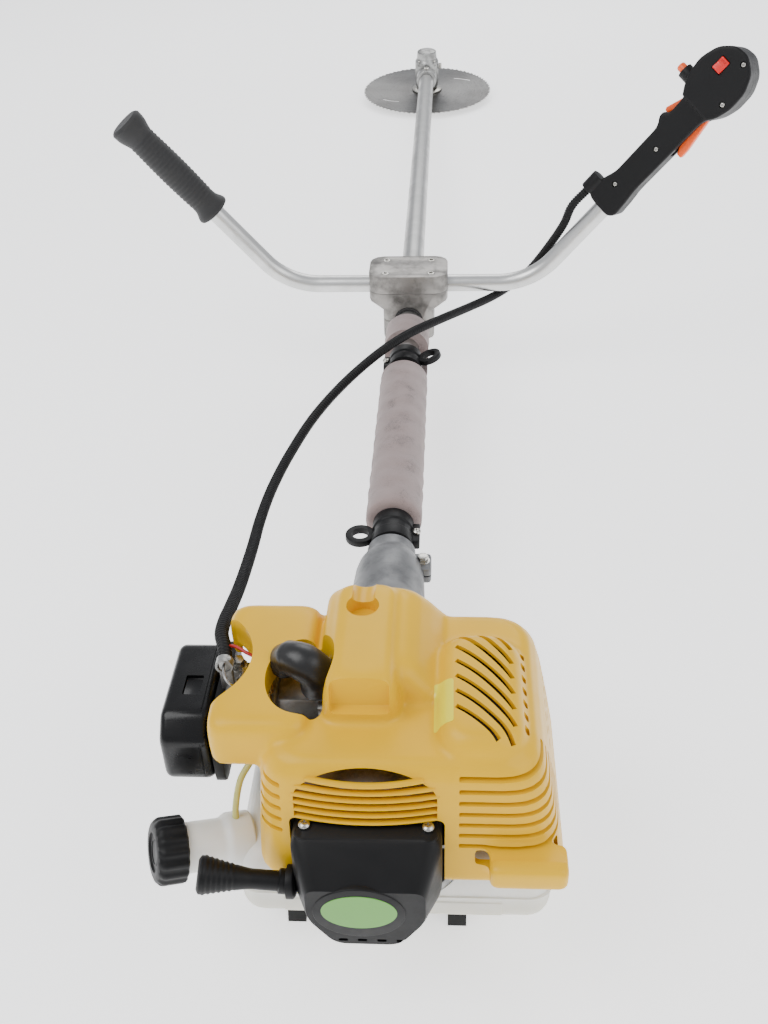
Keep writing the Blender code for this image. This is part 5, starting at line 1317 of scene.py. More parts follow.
@dataclass
class EngineCore:
    """Crankcase, cylinder, muffler, carburettor, air filter and spark plug boot, around the crank line.

    Attributes:
        carb: lowest and highest corner of the carburettor's body.
        filter_x: range in x of the air filter's cover.
        filter_y: its range in y.
        filter_z: its range in z.
        plug_foot: foot of the spark plug.
        plug_tilt: its lean, about x and then about y.
    """

    carb: tuple = ((-0.0995, -0.010, 0.020), (-0.0635, 0.034, 0.058))
    filter_x: tuple[float, float] = (-0.1411, -0.1071)
    filter_y: tuple[float, float] = (-0.025, 0.067)
    filter_z: tuple[float, float] = (-0.005, 0.053)
    plug_foot: tuple[float, float, float] = (-0.027, 0.0, 0.064)
    plug_tilt: tuple[float, float] = (math.radians(10.0), math.radians(-22.0))

    def plug_line(self, machine: Machine) -> Matrix:
        """Return the spark plug's line."""
        turn = Matrix.Rotation(self.plug_tilt[1], 4, "Y") @ Matrix.Rotation(self.plug_tilt[0], 4, "X")
        return machine.lines.crank @ at(*self.plug_foot) @ turn

    def filter_cover(self) -> bmesh.types.BMesh:
        """Build the filter's cover: a deep box with chamfered edges, a clip's notch and a seam."""
        (x0, x1), (y0, y1), (z0, z1) = self.filter_x, self.filter_y, self.filter_z
        outline = rounded([(y0, z0 + 0.010), (y0 + 0.012, z0), (y1 - 0.010, z0), (y1, z0 + 0.010),
                           (y1, z1 - 0.012), (y1 - 0.012, z1), (y0 + 0.014, z1), (y0, z1 - 0.014)], 0.005, 4)
        box = extruded(outline, x0, x1, 0.0055, 5, Axis.X)
        room = slab((x0 + 0.008, y0 + 0.0130, z0 + 0.0095), (x1 + 0.01, y1 - 0.0110, z1 - 0.0120), 0.004, 2)
        notch = slab((x0 + 0.012, 0.006, z1 - 0.0030), (x0 + 0.024, 0.024, z1 + 0.01), 0.0008, 2)
        seam = [slab((x1 - 0.0065, y0 - 0.01, z1 - 0.0008), (x1 - 0.0052, y1 + 0.01, z1 + 0.01)),
                slab((x1 - 0.0065, y0 - 0.01, z0 - 0.01), (x1 - 0.0052, y0 + 0.0008, z1 + 0.01))]
        ribs = [slab((x0 - 0.0012, y0 + 0.016 + 0.012 * k, z0 + 0.010),
                     (x0 + 0.0012, y0 + 0.019 + 0.012 * k, z1 - 0.012),
                     0.0008, 2) for k in range(5)]
        return merged(cut(box, room, notch, *seam), *ribs)

    def boot(self) -> bmesh.types.BMesh:
        """Build the spark plug's boot: a flared skirt that turns into a thick elbow."""
        route = [(0, 0, 0.0125), (0, 0, 0.0185), (-0.0005, 0.0008, 0.0245), (-0.0050, 0.0040, 0.0305),
                 (-0.0125, 0.0085, 0.0325), (-0.0195, 0.0120, 0.0290), (-0.0235, 0.0135, 0.0215)]
        points = smooth_points(route, 40)
        total = route_length(points)

        def girth(distance: float) -> float:
            """Return the boot's radius at a distance from the skirt."""
            t = distance / total
            skirt = 0.0035 * math.exp(-((t - 0.03) / 0.07) ** 2)
            bands = 0.0005 * (math.cos(distance * 2200) > 0.6) * (t > 0.62)
            return 0.0122 + skirt - 0.0030 * max(t - 0.45, 0) / 0.55 + bands - 0.004 * (t > 0.985)

        return swept(points, girth, 32)

    def hexagon_bolt(self, across: float, height: float, washer: float) -> bmesh.types.BMesh:
        """Build a hexagon bolt's head on a washer, standing along Z."""
        head = extruded(hexagon(across), 0.0012, height, across * 0.04, 2)
        plate = spun(soft_profile([(0, 0), (washer, 0), (washer, 0.0012), (0, 0.0012)], 0.0003, 2), 40)
        return merged(head, plate)

    def jets(self) -> bmesh.types.BMesh:
        """Build the brass adjusting screws with their springs, standing along -X of the carburettor."""
        parts = []
        for y in (-0.0045, 0.0035):
            coil = [Vector((0.0024 * math.cos(a), 0.0024 * math.sin(a), 0.0011 * a / math.tau * 1.3))
                    for a in (math.tau * k / 14 for k in range(14 * 6))]
            spring = swept(coil, 0.00045, 8)
            head = spun(soft_profile([(0, 0.0085), (0.0024, 0.0085), (0.0024, 0.0115), (0, 0.0115)], 0.0003,
                                     2), 24)
            stem = spun([(0, -0.002), (0.0014, -0.002), (0.0014, 0.009), (0, 0.009)], 20)
            screw = cut(fused(stem, head), slab((-0.003, -0.0003, 0.0107), (0.003, 0.0003, 0.013)))
            parts.append(moved(merged(spring, screw), at(-0.0690, y, 0.0580)))
        return merged(*parts)

    def carburettor(self) -> bmesh.types.BMesh:
        """Build the carburettor's body with its bosses, inlet, cable stay and screws' pads."""
        low, high = self.carb
        block = slab(low, high, 0.003, 3)
        inlet = slab((low[0] + 0.030, low[1] + 0.010, low[2] + 0.012), (-0.0348, high[1] - 0.008, 0.055),
                     0.002, 2)
        stay = slab((low[0] - 0.003, 0.0100, high[2] - 0.004), (low[0] + 0.006, 0.0140, high[2] + 0.023),
                    0.0010, 2)
        collar = spun([(0.0044, -0.003), (0.0060, -0.003), (0.0060, 0.003), (0.0044, 0.003)], 32, Axis.Y,
                      True)
        moved(collar, at(low[0] + 0.0010, 0.0120, high[2] + 0.0175))
        boss = spun(soft_profile([(0, 0), (0.010, 0), (0.010, 0.004), (0, 0.004)], 0.001, 3), 40)
        moved(boss, at(low[0] + 0.020, 0.014, high[2] - 0.0015))
        pump = slab((low[0] + 0.004, low[1] + 0.002, low[2] - 0.004),
                    (high[0] - 0.004, high[1] - 0.002, low[2] + 0.002),
                    0.0012, 2)
        solid = fused(block, inlet, stay, pump)
        well = spun([(0, -0.01), (0.0085, -0.01), (0.0085, 0.006), (0, 0.006)], 40, Axis.Y)
        moved(well, at(low[0] + 0.027, low[1], low[2] + 0.0095))
        return merged(cut(solid, well), collar, boss)

    def build(self, machine: Machine, finishes: Finishes) -> None:
        """Build every piece of the engine under the cover."""
        crank = machine.lines.crank
        machine.add("air_filter_shell", self.filter_cover(), finishes.black_gloss, "air_filter_cover", crank,
                    ("air_filter_cover",))
        machine.refine("air_filter_base", finishes.black, 0.0008)
        machine.add("plug_boot_elbow", self.boot(), finishes.boot, "spark_plug_boot", self.plug_line(machine),
                    ("spark_plug_boot",), crease=50.0)
        machine.add("carburettor_casting", self.carburettor(), finishes.casting, "carburettor", crank,
                    ("carburettor",))
        machine.add("carburettor_jets", self.jets(), finishes.brass, "carburettor", crank)
        bolts = [moved(self.hexagon_bolt(0.008, 0.0065, 0.0062),
                       at(self.carb[0][0] + x, y, self.carb[1][2] - 0.0005))
                 for x, y in ((0.030, 0.028), (0.006, 0.029))]
        machine.add("carburettor_bolts", merged(*bolts), finishes.zinc, "starter_screw_left", crank)
        machine.refine("throttle_arm", finishes.zinc, 0.0004)
        machine.refine("choke_lever", finishes.black, 0.0006)
        machine.refine("muffler", finishes.muffler, 0.0006)
        machine.refine("cylinder", finishes.casting, 0.0005)
        machine.refine("crankcase", finishes.casting, 0.0010)
        machine.refine("primer_bulb", finishes.tank, 0.0004)
        machine.dress(finishes.steel, "crankshaft", "clutch_drum", "drive_shaft", "pinion_gear",
                      "output_spindle",
                      "spindle_bearing")
        machine.dress(finishes.casting, "flywheel")
        machine.dress(finishes.muffler, "clutch_rotor")
        machine.dress(finishes.bronze, "shaft_bush_rear", "shaft_bush_front")
        machine.dress(finishes.ceramic, "spark_plug")
        machine.dress(finishes.black, "starter_pulley")


@dataclass
class FuelSystem:
    """Tank, cap and stand, around the crank line and the neck's line.

    Attributes:
        low: lowest corner of the tank.
        high: highest corner of the tank.
        saddle: radius of the hollow that the crankcase sits in.
        neck_radius: of the filler neck.
        neck_length: of the filler neck.
        cap_radius: of the cap.
        cap_height: of the cap.
        cap_ribs: grips round the cap.
    """

    low: tuple = (-0.090, -0.074, -0.078)
    high: tuple = (0.118, 0.060, -0.018)
    saddle: float = 0.062
    neck_radius: float = 0.0165
    neck_length: float = 0.058
    cap_radius: float = 0.0220
    cap_height: float = 0.020
    cap_ribs: int = 16

    def tank(self, machine: Machine) -> bmesh.types.BMesh:
        """Build the blow-moulded tank with its moulding seam and neck."""
        box = slab(self.low, self.high, 0.016, 6)
        rim = rounded(rectangle((self.low[0] - 0.0012, self.high[0] + 0.0012),
                                (self.low[1] - 0.0012, self.high[1] + 0.0012)), 0.018, 8)
        seam = extruded(rim, -0.0500, -0.0484, 0.0006, 2)
        hollow = spun([(0, -0.10), (self.saddle, -0.10), (self.saddle, 0.09), (0, 0.09)], 96, Axis.Y)
        neck = spun(soft_profile([(0, -0.004), (self.neck_radius + 0.003, -0.004),
                                  (self.neck_radius + 0.003, 0.012),
                                  (self.neck_radius, 0.016), (self.neck_radius, self.neck_length),
                                  (0, self.neck_length)], 0.002, 4), 64)
        moved(neck, machine.lines.crank.inverted() @ machine.lines.neck)
        panel = slab((-0.060, self.low[1] - 0.0008, -0.068), (0.086, self.low[1] + 0.004, -0.054), 0.0015, 3)
        return cut(fused(box, seam, neck, panel), hollow)

    def cap(self) -> bmesh.types.BMesh:
        """Build the cap: wide grips round a dished face."""
        steps = self.cap_ribs * 8
        top, low = self.neck_length + 0.003, self.neck_length + 0.003 - self.cap_height

        def rim(radius: float) -> list[tuple[float, float]]:
            """Return the wavy outline of the grips at a radius."""
            outline = []
            for k in range(steps):
                wave = math.cos(math.tau * self.cap_ribs * k / steps)
                reach = radius - 0.0011 * (1 - math.copysign(abs(wave) ** 0.35, wave)) / 2
                outline.append((reach * math.cos(math.tau * k / steps),
                                reach * math.sin(math.tau * k / steps)))
            return outline

        body = lofted([(rim(self.cap_radius - 0.0012), low), (rim(self.cap_radius), low + 0.0012),
                       (rim(self.cap_radius), top - 0.0050), (rim(self.cap_radius - 0.0006), top - 0.0032),
                       (disc(self.cap_radius - 0.0030, steps), top - 0.0008),
                       (disc(self.cap_radius - 0.0050, steps), top)])
        dish = spun(soft_profile([(0, top - 0.0014), (0.0125, top - 0.0014), (0.0135, top + 0.003),
                                  (0, top + 0.003)],
                                 0.0006, 3), 96)
        ring = spun([(0.0078, top - 0.0018), (0.0086, top - 0.0018), (0.0086, top - 0.0009),
                     (0.0078, top - 0.0009)],
                    64, ring=True)
        room = spun([(0, low - 0.02), (self.neck_radius + 0.0006, low - 0.02),
                     (self.neck_radius + 0.0006, self.neck_length + 0.0003),
                     (0, self.neck_length + 0.0003)], 64)
        return merged(cut(body, dish, room), ring)

    def build(self, machine: Machine, finishes: Finishes) -> None:
        """Build the tank, its cap and label, and the stand."""
        crank = machine.lines.crank
        machine.add("tank_moulding", self.tank(machine), finishes.tank, "fuel_tank", crank, ("fuel_tank",))
        machine.add("cap_moulding", self.cap(), finishes.black, "fuel_cap", machine.lines.neck, ("fuel_cap",))
        machine.refine("engine_stand", finishes.black, 0.0020, 3)
        label = extruded(rounded(rectangle((-0.066, -0.050), (-0.046, -0.034)), 0.002), -0.0747, -0.0741,
                         0.0001, 1,
                         Axis.Y)
        machine.add("blank_label_tank", label, finishes.label_yellow, "fuel_tank", crank)


@dataclass
class Starter:
    """Starter housing, pull grip, rope and screws, around the crank line.

    Attributes:
        half: half width of the housing.
        top: height of its flat top.
        bottom: height of its lower face.
        front: where it meets the fan housing.
        shoulder: where its rear slope starts.
        rear: its rear face.
        screw_x: distance of the screws from the middle.
    """

    half: float = 0.046
    top: float = 0.036
    bottom: float = -0.048
    front: float = -0.0763
    shoulder: float = -0.096
    rear: float = -0.1170
    screw_x: float = 0.0375

    def outline(self, scale: float, drop: float) -> list[tuple[float, float]]:
        """Return the housing's outline: a flat top and chamfered lower corners."""
        half, top, bottom = self.half * scale, self.top - drop, self.bottom * scale
        return rounded([(-half, top), (-half, bottom * 0.35), (-half * 0.55, bottom), (half * 0.55, bottom),
                        (half, bottom * 0.35), (half, top)][::-1], 0.010 * scale, 8)

    def housing(self) -> bmesh.types.BMesh:
        """Build the housing with its panels, pillars and ribs."""
        sections = [(self.outline(1.0, 0.0), -self.front), (self.outline(1.0, 0.0), -self.shoulder - 0.002),
                    (self.outline(0.985, 0.0016), -self.shoulder + 0.0012),
                    (self.outline(0.815, 0.0194), -self.rear - 0.0020),
                    (self.outline(0.79, 0.0215), -self.rear)]
        body = lofted(sections)
        moved(body, Matrix(((1, 0, 0, 0), (0, 0, -1, 0), (0, 1, 0, 0), (0, 0, 0, 1))))
        slope = line_matrix((-0.0035, -0.1088, 0.0238), (1, 0, 0), (0, 0.7071, 0.7071))
        inset = extruded(rounded(rectangle((-0.0235, 0.0235), (-0.0085, 0.0085)), 0.003, 5), -0.0005, 0.01,
                         0.0003, 1)
        pillars = []
        for side in (-1, 1):
            pillar = spun(soft_profile([(0, -0.014), (0.0062, -0.014), (0.0062, self.top - 0.0004),
                                        (0, self.top - 0.0004)], 0.0010, 3), 40)
            pillars.append(moved(pillar, at(side * self.screw_x, -0.0900, 0)))
        face = extruded([(-0.004 + 0.0285 * x, -0.006 + 0.0235 * z) for x, z in disc(1.0, 72)],
                        self.rear - 0.0006,
                        self.rear + 0.004, 0.0008, 3, Axis.Y)
        vents = [slab((-0.030 + 0.012 * k, -0.125, -0.0350), (-0.024 + 0.012 * k, -0.100, -0.0325), 0.0008, 2)
                 for k in range(6)]
        outlet = spun(soft_profile([(0.0036, -0.004), (0.0105, -0.004), (0.0105, 0.0005), (0.0085, 0.0020),
                                    (0.0036, 0.0020)], 0.0006, 2), 40, ring=True)
        moved(outlet, line_matrix((-0.0465, -0.0960, -0.0060), (0, 0, 1),
                                  (0, 1, 0)) @ Matrix.Rotation(math.pi, 4, "Y"))
        solid = cut(fused(body, *pillars, face), moved(inset, slope), *vents)
        room = spun([(0, -0.1013), (0.0303, -0.1013), (0.033, -0.093), (0.033, -0.06), (0, -0.06)], 64,
                    Axis.Y)
        rope_way = spun([(0, -0.030), (0.0032, -0.030), (0.0032, 0.03), (0, 0.03)], 24, Axis.X)
        moved(rope_way, at(-0.045, -0.0960, -0.0060))
        return merged(cut(solid, room, rope_way), outlet)

    def grip(self) -> bmesh.types.BMesh:
        """Build the pull: a collar and stem that spread into a ribbed handle."""
        points = [Vector((0, 0, 0.056 * k / 64)) for k in range(65)]

        def girth(distance: float) -> float:
            """Return the grip's radius at a distance from the housing."""
            t = distance / 0.056
            collar = 0.0016 * (t < 0.10)
            spread = 0.0066 * (max(t - 0.40, 0) / 0.60) ** 1.2
            ribs = 0.0004 * math.cos(distance * math.tau / 0.0032) * (t > 0.58)
            tip = 0.0035 * max((t - 0.93) / 0.07, 0) ** 2
            return 0.0062 + collar + spread + ribs - tip

        return swept(points, girth, 40, 1.0, up=(1.0, 0.0, 0.0))

    def screw(self) -> bmesh.types.BMesh:
        """Build a pan-head screw with a cross recess."""
        head = spun(soft_profile([(0, 0), (0.0038, 0), (0.0038, 0.0018), (0.0022, 0.003), (0, 0.003)],
                                 0.0006, 4), 40)
        return cut(head, slab((-0.0019, -0.00045, 0.0016), (0.0019, 0.00045, 0.004)),
                   slab((-0.00045, -0.0019, 0.0016), (0.00045, 0.0019, 0.004)))

    def build(self, machine: Machine, finishes: Finishes) -> None:
        """Build the housing, its blank label, the screws, the pull and the rope."""
        crank = machine.lines.crank
        machine.add("starter_shell", self.housing(), finishes.black, "starter_housing", crank,
                    ("starter_housing",))
        oval = [(-0.004 + 0.0232 * x, -0.0045 + 0.0158 * z) for x, z in disc(1.0, 72)]
        machine.add("blank_label_starter", extruded(oval, self.rear - 0.0009, self.rear - 0.0004, 0.0002, 1,
                                                    Axis.Y),
                    finishes.label_green, "starter_housing", crank)
        for side, name in ((-1, "starter_screw_left"), (1, "starter_screw_right")):
            place = crank @ at(side * self.screw_x, (self.shoulder + self.front) / 2, self.top + 0.0003)
            machine.add(name + "_head", self.screw(), finishes.zinc, name, place, (name,))
        machine.add("pull_handle", self.grip(), finishes.black, "starter_pull", machine.lines.pull,
                    ("starter_pull",), crease=60.0)
        rope = swept([Vector((0, 0, -0.030 + 0.001 * k)) for k in range(42)], 0.0018, 12, up=(1.0, 0.0, 0.0))
        rope = machine.add("starter_rope", rope, finishes.rope, "starter_pull", machine.lines.pull,
                           ride=False)
        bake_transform(rope)


# ============================================================ shaft
@dataclass
class ClutchAndTube:
    """Clutch housing, drive tube, sleeve and hanger rings, around the crank line.

    Attributes:
        tube_radius: outside of the tube.
        tube_wall: its wall.
        tube_y: its range along the shaft.
        sleeve_radius: outside of the foam.
        sleeve_y: its range along the shaft.
        window_y: range of the sleeve's window.
        eye_radius: outside of a harness eye.
        eye_hole: radius of its hole.
    """

    tube_radius: float = 0.014
    tube_wall: float = 0.0015
    tube_y: tuple[float, float] = (0.190, 1.762)
    sleeve_radius: float = 0.025
    sleeve_y: tuple[float, float] = (0.272, 0.646)
    window_y: tuple[float, float] = (0.530, 0.602)
    eye_radius: float = 0.013
    eye_hole: float = 0.0075

    def housing(self) -> bmesh.types.BMesh:
        """Build the clutch housing: a bell, a domed neck and the clamping ear."""
        outer = [(0.042, 0.0623), (0.046, 0.0623), (0.046, 0.104), (0.0440, 0.116), (0.0395, 0.130),
                 (0.0345, 0.142), (0.0312, 0.154), (0.0298, 0.168), (0.0292, 0.184), (0.0285, 0.196),
                 (0.0268, 0.205), (0.0240, 0.2120), (0.0214, 0.2165), (0.0206, 0.2200), (0.0206, 0.2290),
                 (0.0143, 0.2290), (0.0143, 0.1897), (0.011, 0.1897), (0.011, 0.150), (0.038, 0.128),
                 (0.042, 0.118)]
        bell = spun(outer, 96, Axis.Y, True)
        ear = slab((0.016, 0.196, -0.0070), (0.0345, 0.2185, 0.0090), 0.0030, 3)
        split = slab((0.014, 0.190, 0.0003), (0.036, 0.222, 0.0017))
        lip = spun([(0.040, 0.0980), (0.0474, 0.0980), (0.0474, 0.1010), (0.040, 0.1010)], 96, Axis.Y, True)
        bore = spun([(0, 0.186), (0.0143, 0.186), (0.0143, 0.24), (0, 0.24)], 64, Axis.Y)
        return cut(fused(bell, lip, ear), split, bore)

    def ring(self, span: tuple[float, float], side: int, tilt: float) -> bmesh.types.BMesh:
        """Build a clamping ring: two bands, an eye and a screw's lug."""
        inner, outer = self.tube_radius + 0.0003, self.tube_radius + 0.0043
        low, high = span
        middle = (low + high) / 2
        profile = soft_profile([(inner, low), (outer, low), (outer, low + 0.012),
                                (outer - 0.0012, low + 0.0135),
                                (outer - 0.0012, high - 0.0135), (outer, high - 0.012), (outer, high),
                                (inner, high)],
                               0.0006, 3)
        band = spun(profile, 72, Axis.Y, True)
        reach = outer + self.eye_radius - 0.003
        eye = extruded([(reach + self.eye_radius * x, self.eye_radius * y) for x, y in disc(1.0, 56)],
                       -0.003, 0.003, 0.0010, 3)
        web = slab((inner + 0.0005, -0.0085, -0.0025), (reach - 0.004, 0.0085, 0.0025), 0.0008, 2)
        hole = extruded([(reach + self.eye_hole * x, self.eye_hole * y) for x, y in disc(1.0, 48)], -0.01,
                        0.01)
        place = at(0, middle, 0) @ Matrix.Diagonal((side, 1, 1, 1)) @ Matrix.Rotation(tilt, 4, "Y")
        lug = slab((inner, low + 0.004, -0.0045), (outer + 0.0055, high - 0.004, 0.0045), 0.0015, 3)
        moved(lug, Matrix.Diagonal((-side, 1, 1, 1)))
        bore = spun([(0, low - 0.01), (inner, low - 0.01), (inner, high + 0.01), (0, high + 0.01)], 64,
                    Axis.Y)
        solid = fused(band, moved(eye, place), moved(web, place), lug)
        return cut(solid, moved(hole, place), bore)

    def sleeve(self) -> bmesh.types.BMesh:
        """Build the foam sleeve with soft ends and a window."""
        low, high = self.sleeve_y
        inner = self.tube_radius + 0.0003
        steps = 48
        outer = [(self.sleeve_radius + 0.00035 * math.sin(k * 1.7) + 0.0002 * math.sin(k * 4.1),
                  low + 0.004 + (high - low - 0.008) * k / steps) for k in range(steps + 1)]
        profile = [(inner, low), (self.sleeve_radius - 0.0040, low),
                   (self.sleeve_radius - 0.0012, low + 0.0012)]
        profile += outer + [(self.sleeve_radius - 0.0012, high - 0.0012), (self.sleeve_radius - 0.0040, high),
                            (inner, high)]
        tube = spun(profile, 72, Axis.Y, True)
        window = slab((-0.04, self.window_y[0], -0.006), (0.04, self.window_y[1], 0.04), 0.004, 3)
        seat_y = (self.window_y[0] + 0.006, self.window_y[1] - 0.006)
        seat = spun([(0, seat_y[0]), (0.0186, seat_y[0]), (0.0186, seat_y[1]), (0, seat_y[1])], 64, Axis.Y)
        return cut(tube, window, seat)

    def tube(self) -> bmesh.types.BMesh:
        """Build the drive tube with its rounded rims."""
        inner, outer = self.tube_radius - self.tube_wall, self.tube_radius
        low, high = self.tube_y
        stations = [low + (high - low) * k / 40 for k in range(41)]
        profile = [(inner, low), (outer - 0.0003, low)] + [(outer, y) for y in stations[1:-1]]
        profile += [(outer - 0.0003, high), (inner, high)]
        return spun(profile, 72, Axis.Y, True)

    def collar(self) -> bmesh.types.BMesh:
        """Build the ribbed collar between the clutch housing and the lower ring."""
        outline = [((0.0160 if k % 4 < 2 else 0.0156) * math.cos(math.tau * k / 144),
                    (0.0160 if k % 4 < 2 else 0.0156) * math.sin(math.tau * k / 144)) for k in range(144)]
        body = extruded(outline, 0.2294, 0.2351, 0.0003, 1, Axis.Y)
        bore = spun([(0, 0.22), (0.0142, 0.22), (0.0142, 0.24), (0, 0.24)], 64, Axis.Y)
        return cut(body, bore)

    def build(self, machine: Machine, finishes: Finishes) -> None:
        """Build the housing, the tube, the sleeve and the rings."""
        crank = machine.lines.crank
        machine.add("clutch_casting", self.housing(), finishes.housing, "clutch_housing", crank,
                    ("clutch_housing",))
        bolt = EngineCore().hexagon_bolt(0.008, 0.0055, 0.0058)
        machine.add("clutch_ear_bolt", bolt, finishes.zinc, "clutch_housing",
                    crank @ at(0.0275, 0.2070, 0.0090))
        machine.add("tube_drawn", self.tube(), finishes.tube, "drive_tube", crank, ("drive_tube",))
        machine.add("tube_collar", self.collar(), finishes.ribbed, "drive_tube", crank)
        sleeve = machine.add("sleeve_foam", self.sleeve(), finishes.foam, "foam_sleeve", crank,
                             ("foam_sleeve",),
                             crease=50.0)
        rings = (("hanger_ring_upper", (0.551, 0.581), 1, math.radians(-20)),
                 ("hanger_ring_lower", (0.2355, 0.2700), -1, 0.0))
        for name, span, side, tilt in rings:
            machine.add(name + "_shape", self.ring(span, side, tilt), finishes.black, name, crank, (name,))
            screw = moved(Starter().screw(), crank @ at(-side * 0.0210, (span[0] + span[1]) / 2, 0.0044))
            machine.add(name + "_screw", screw, finishes.zinc, name)


@dataclass
class GearHead:
    """Gear case, blade flanges and nut, around the spindle line.

    Attributes:
        case_radius: of the barrel.
        case_top: its top.
        case_bottom: its lower face.
        socket_radius: of the tube's socket.
        distance: from the engine's centre to the spindle.
    """

    case_radius: float = 0.023
    case_top: float = 0.046
    case_bottom: float = -0.024
    socket_radius: float = 0.0195
    distance: float = 1.790

    def case(self, machine: Machine) -> bmesh.types.BMesh:
        """Build the gear case with its socket, ribs and lugs."""
        top, bottom, radius = self.case_top, self.case_bottom, self.case_radius
        barrel = spun(soft_profile([(0, top), (0.011, top), (0.0185, top - 0.003), (0.0195, top - 0.016),
                                    (radius, top - 0.022), (radius, bottom + 0.012),
                                    (radius - 0.0008, bottom + 0.011),
                                    (radius - 0.0008, bottom), (0, bottom)], 0.0018, 4), 80)
        to_spindle = machine.lines.spindle.inverted() @ machine.lines.crank
        rear = self.distance - 0.062
        socket = spun(soft_profile([(0, rear), (self.socket_radius - 0.001, rear),
                                    (self.socket_radius, rear + 0.002),
                                    (self.socket_radius, rear + 0.030),
                                    (self.socket_radius - 0.002, rear + 0.034),
                                    (self.socket_radius - 0.001, self.distance - 0.008),
                                    (0, self.distance - 0.008)],
                                   0.001, 3), 72, Axis.Y)
        moved(socket, to_spindle)
        ribs = [slab((-0.0016, -0.046, -0.020 + 0.0), (0.0016, -0.012, 0.024), 0.0010, 2)]
        lugs = [moved(spun(soft_profile([(0, -0.004), (0.0042, -0.004), (0.0042, 0.004), (0, 0.004)], 0.0008,
                                        2), 32),
                      Matrix.Rotation(math.radians(90 * k + 45), 4, "Z") @ at(0.0200, 0,
                                                                              top - 0.023)) for k in range(4)]
        bore = spun([(0, rear - 0.01), (0.0143, rear - 0.01), (0.0143, rear + 0.0343), (0, rear + 0.0343)],
                    64, Axis.Y)
        room = spun([(0, bottom - 0.01), (0.017, bottom - 0.01), (0.017, 0.018), (0, 0.018)], 64)
        throat = spun([(0, rear), (0.010, rear), (0.010, self.distance), (0, self.distance)], 48, Axis.Y)
        return cut(fused(barrel, socket, *ribs, *lugs), moved(bore, to_spindle), room,
                   moved(throat, to_spindle))

    @staticmethod
    def socket_screw(radius: float, height: float, recess: float) -> bmesh.types.BMesh:
        """Build the head of a socket screw, standing along Z."""
        head = spun(soft_profile([(0, 0), (radius, 0), (radius, height), (0, height)], radius * 0.14, 3), 40)
        return cut(head, extruded(hexagon(recess), height * 0.45, height + 0.01))

    def nut(self) -> bmesh.types.BMesh:
        """Build the blade's nut with a chamfered crown and collar."""
        top = -0.0320 - 0.0003 - 0.0014 - 0.0003 - 0.004 - 0.0003
        low = top - 0.011
        nut = extruded(hexagon(0.017), low, top, 0.0006, 2)
        crown = spun([(0, low - 0.001), (0.0082, low - 0.001), (0.0104, low + 0.0024), (0.0104, top),
                      (0, top)], 64)
        bore = spun([(0, low - 0.01), (0.0053, low - 0.01), (0.0053, top + 0.01), (0, top + 0.01)], 40)
        return cut(combined(nut, "INTERSECT", crown), bore)

    def build(self, machine: Machine, finishes: Finishes) -> None:
        """Build the case, its screws, the flanges and the nut."""
        spindle, crank = machine.lines.spindle, machine.lines.crank
        machine.add("gear_case_casting", self.case(machine), finishes.casting, "gear_case", spindle,
                    ("gear_case",))
        screw = self.socket_screw(0.0045, 0.004, 0.0040)
        machine.add("gear_case_screw_head", screw, finishes.zinc, "gear_case_screw",
                    crank @ at(0, self.distance - 0.050, 0.0198), ("gear_case_screw",))
        bolt = moved(extruded(hexagon(0.010), self.case_radius + 0.0003, self.case_radius + 0.0063, 0.0005,
                              2),
                     Axis.X.turn())
        machine.add("grease_bolt_head", bolt, finishes.zinc, "grease_bolt", spindle @ at(0, 0, 0.014),
                    ("grease_bolt",))
        small = [moved(self.socket_screw(0.0030, 0.0030, 0.0026),
                       Matrix.Rotation(math.radians(90 * k + 45), 4, "Z") @ at(0.0200, 0,
                                                                               self.case_top - 0.0192))
                 for k in range(4)]
        machine.add("gear_case_lid_screws", merged(*small), finishes.zinc, "gear_case", spindle)
        machine.refine("blade_holder", finishes.zinc, 0.0005)
        machine.refine("blade_washer", finishes.zinc, 0.0005)
        machine.add("blade_nut_shape", self.nut(), finishes.zinc, "blade_nut", spindle, ("blade_nut",))


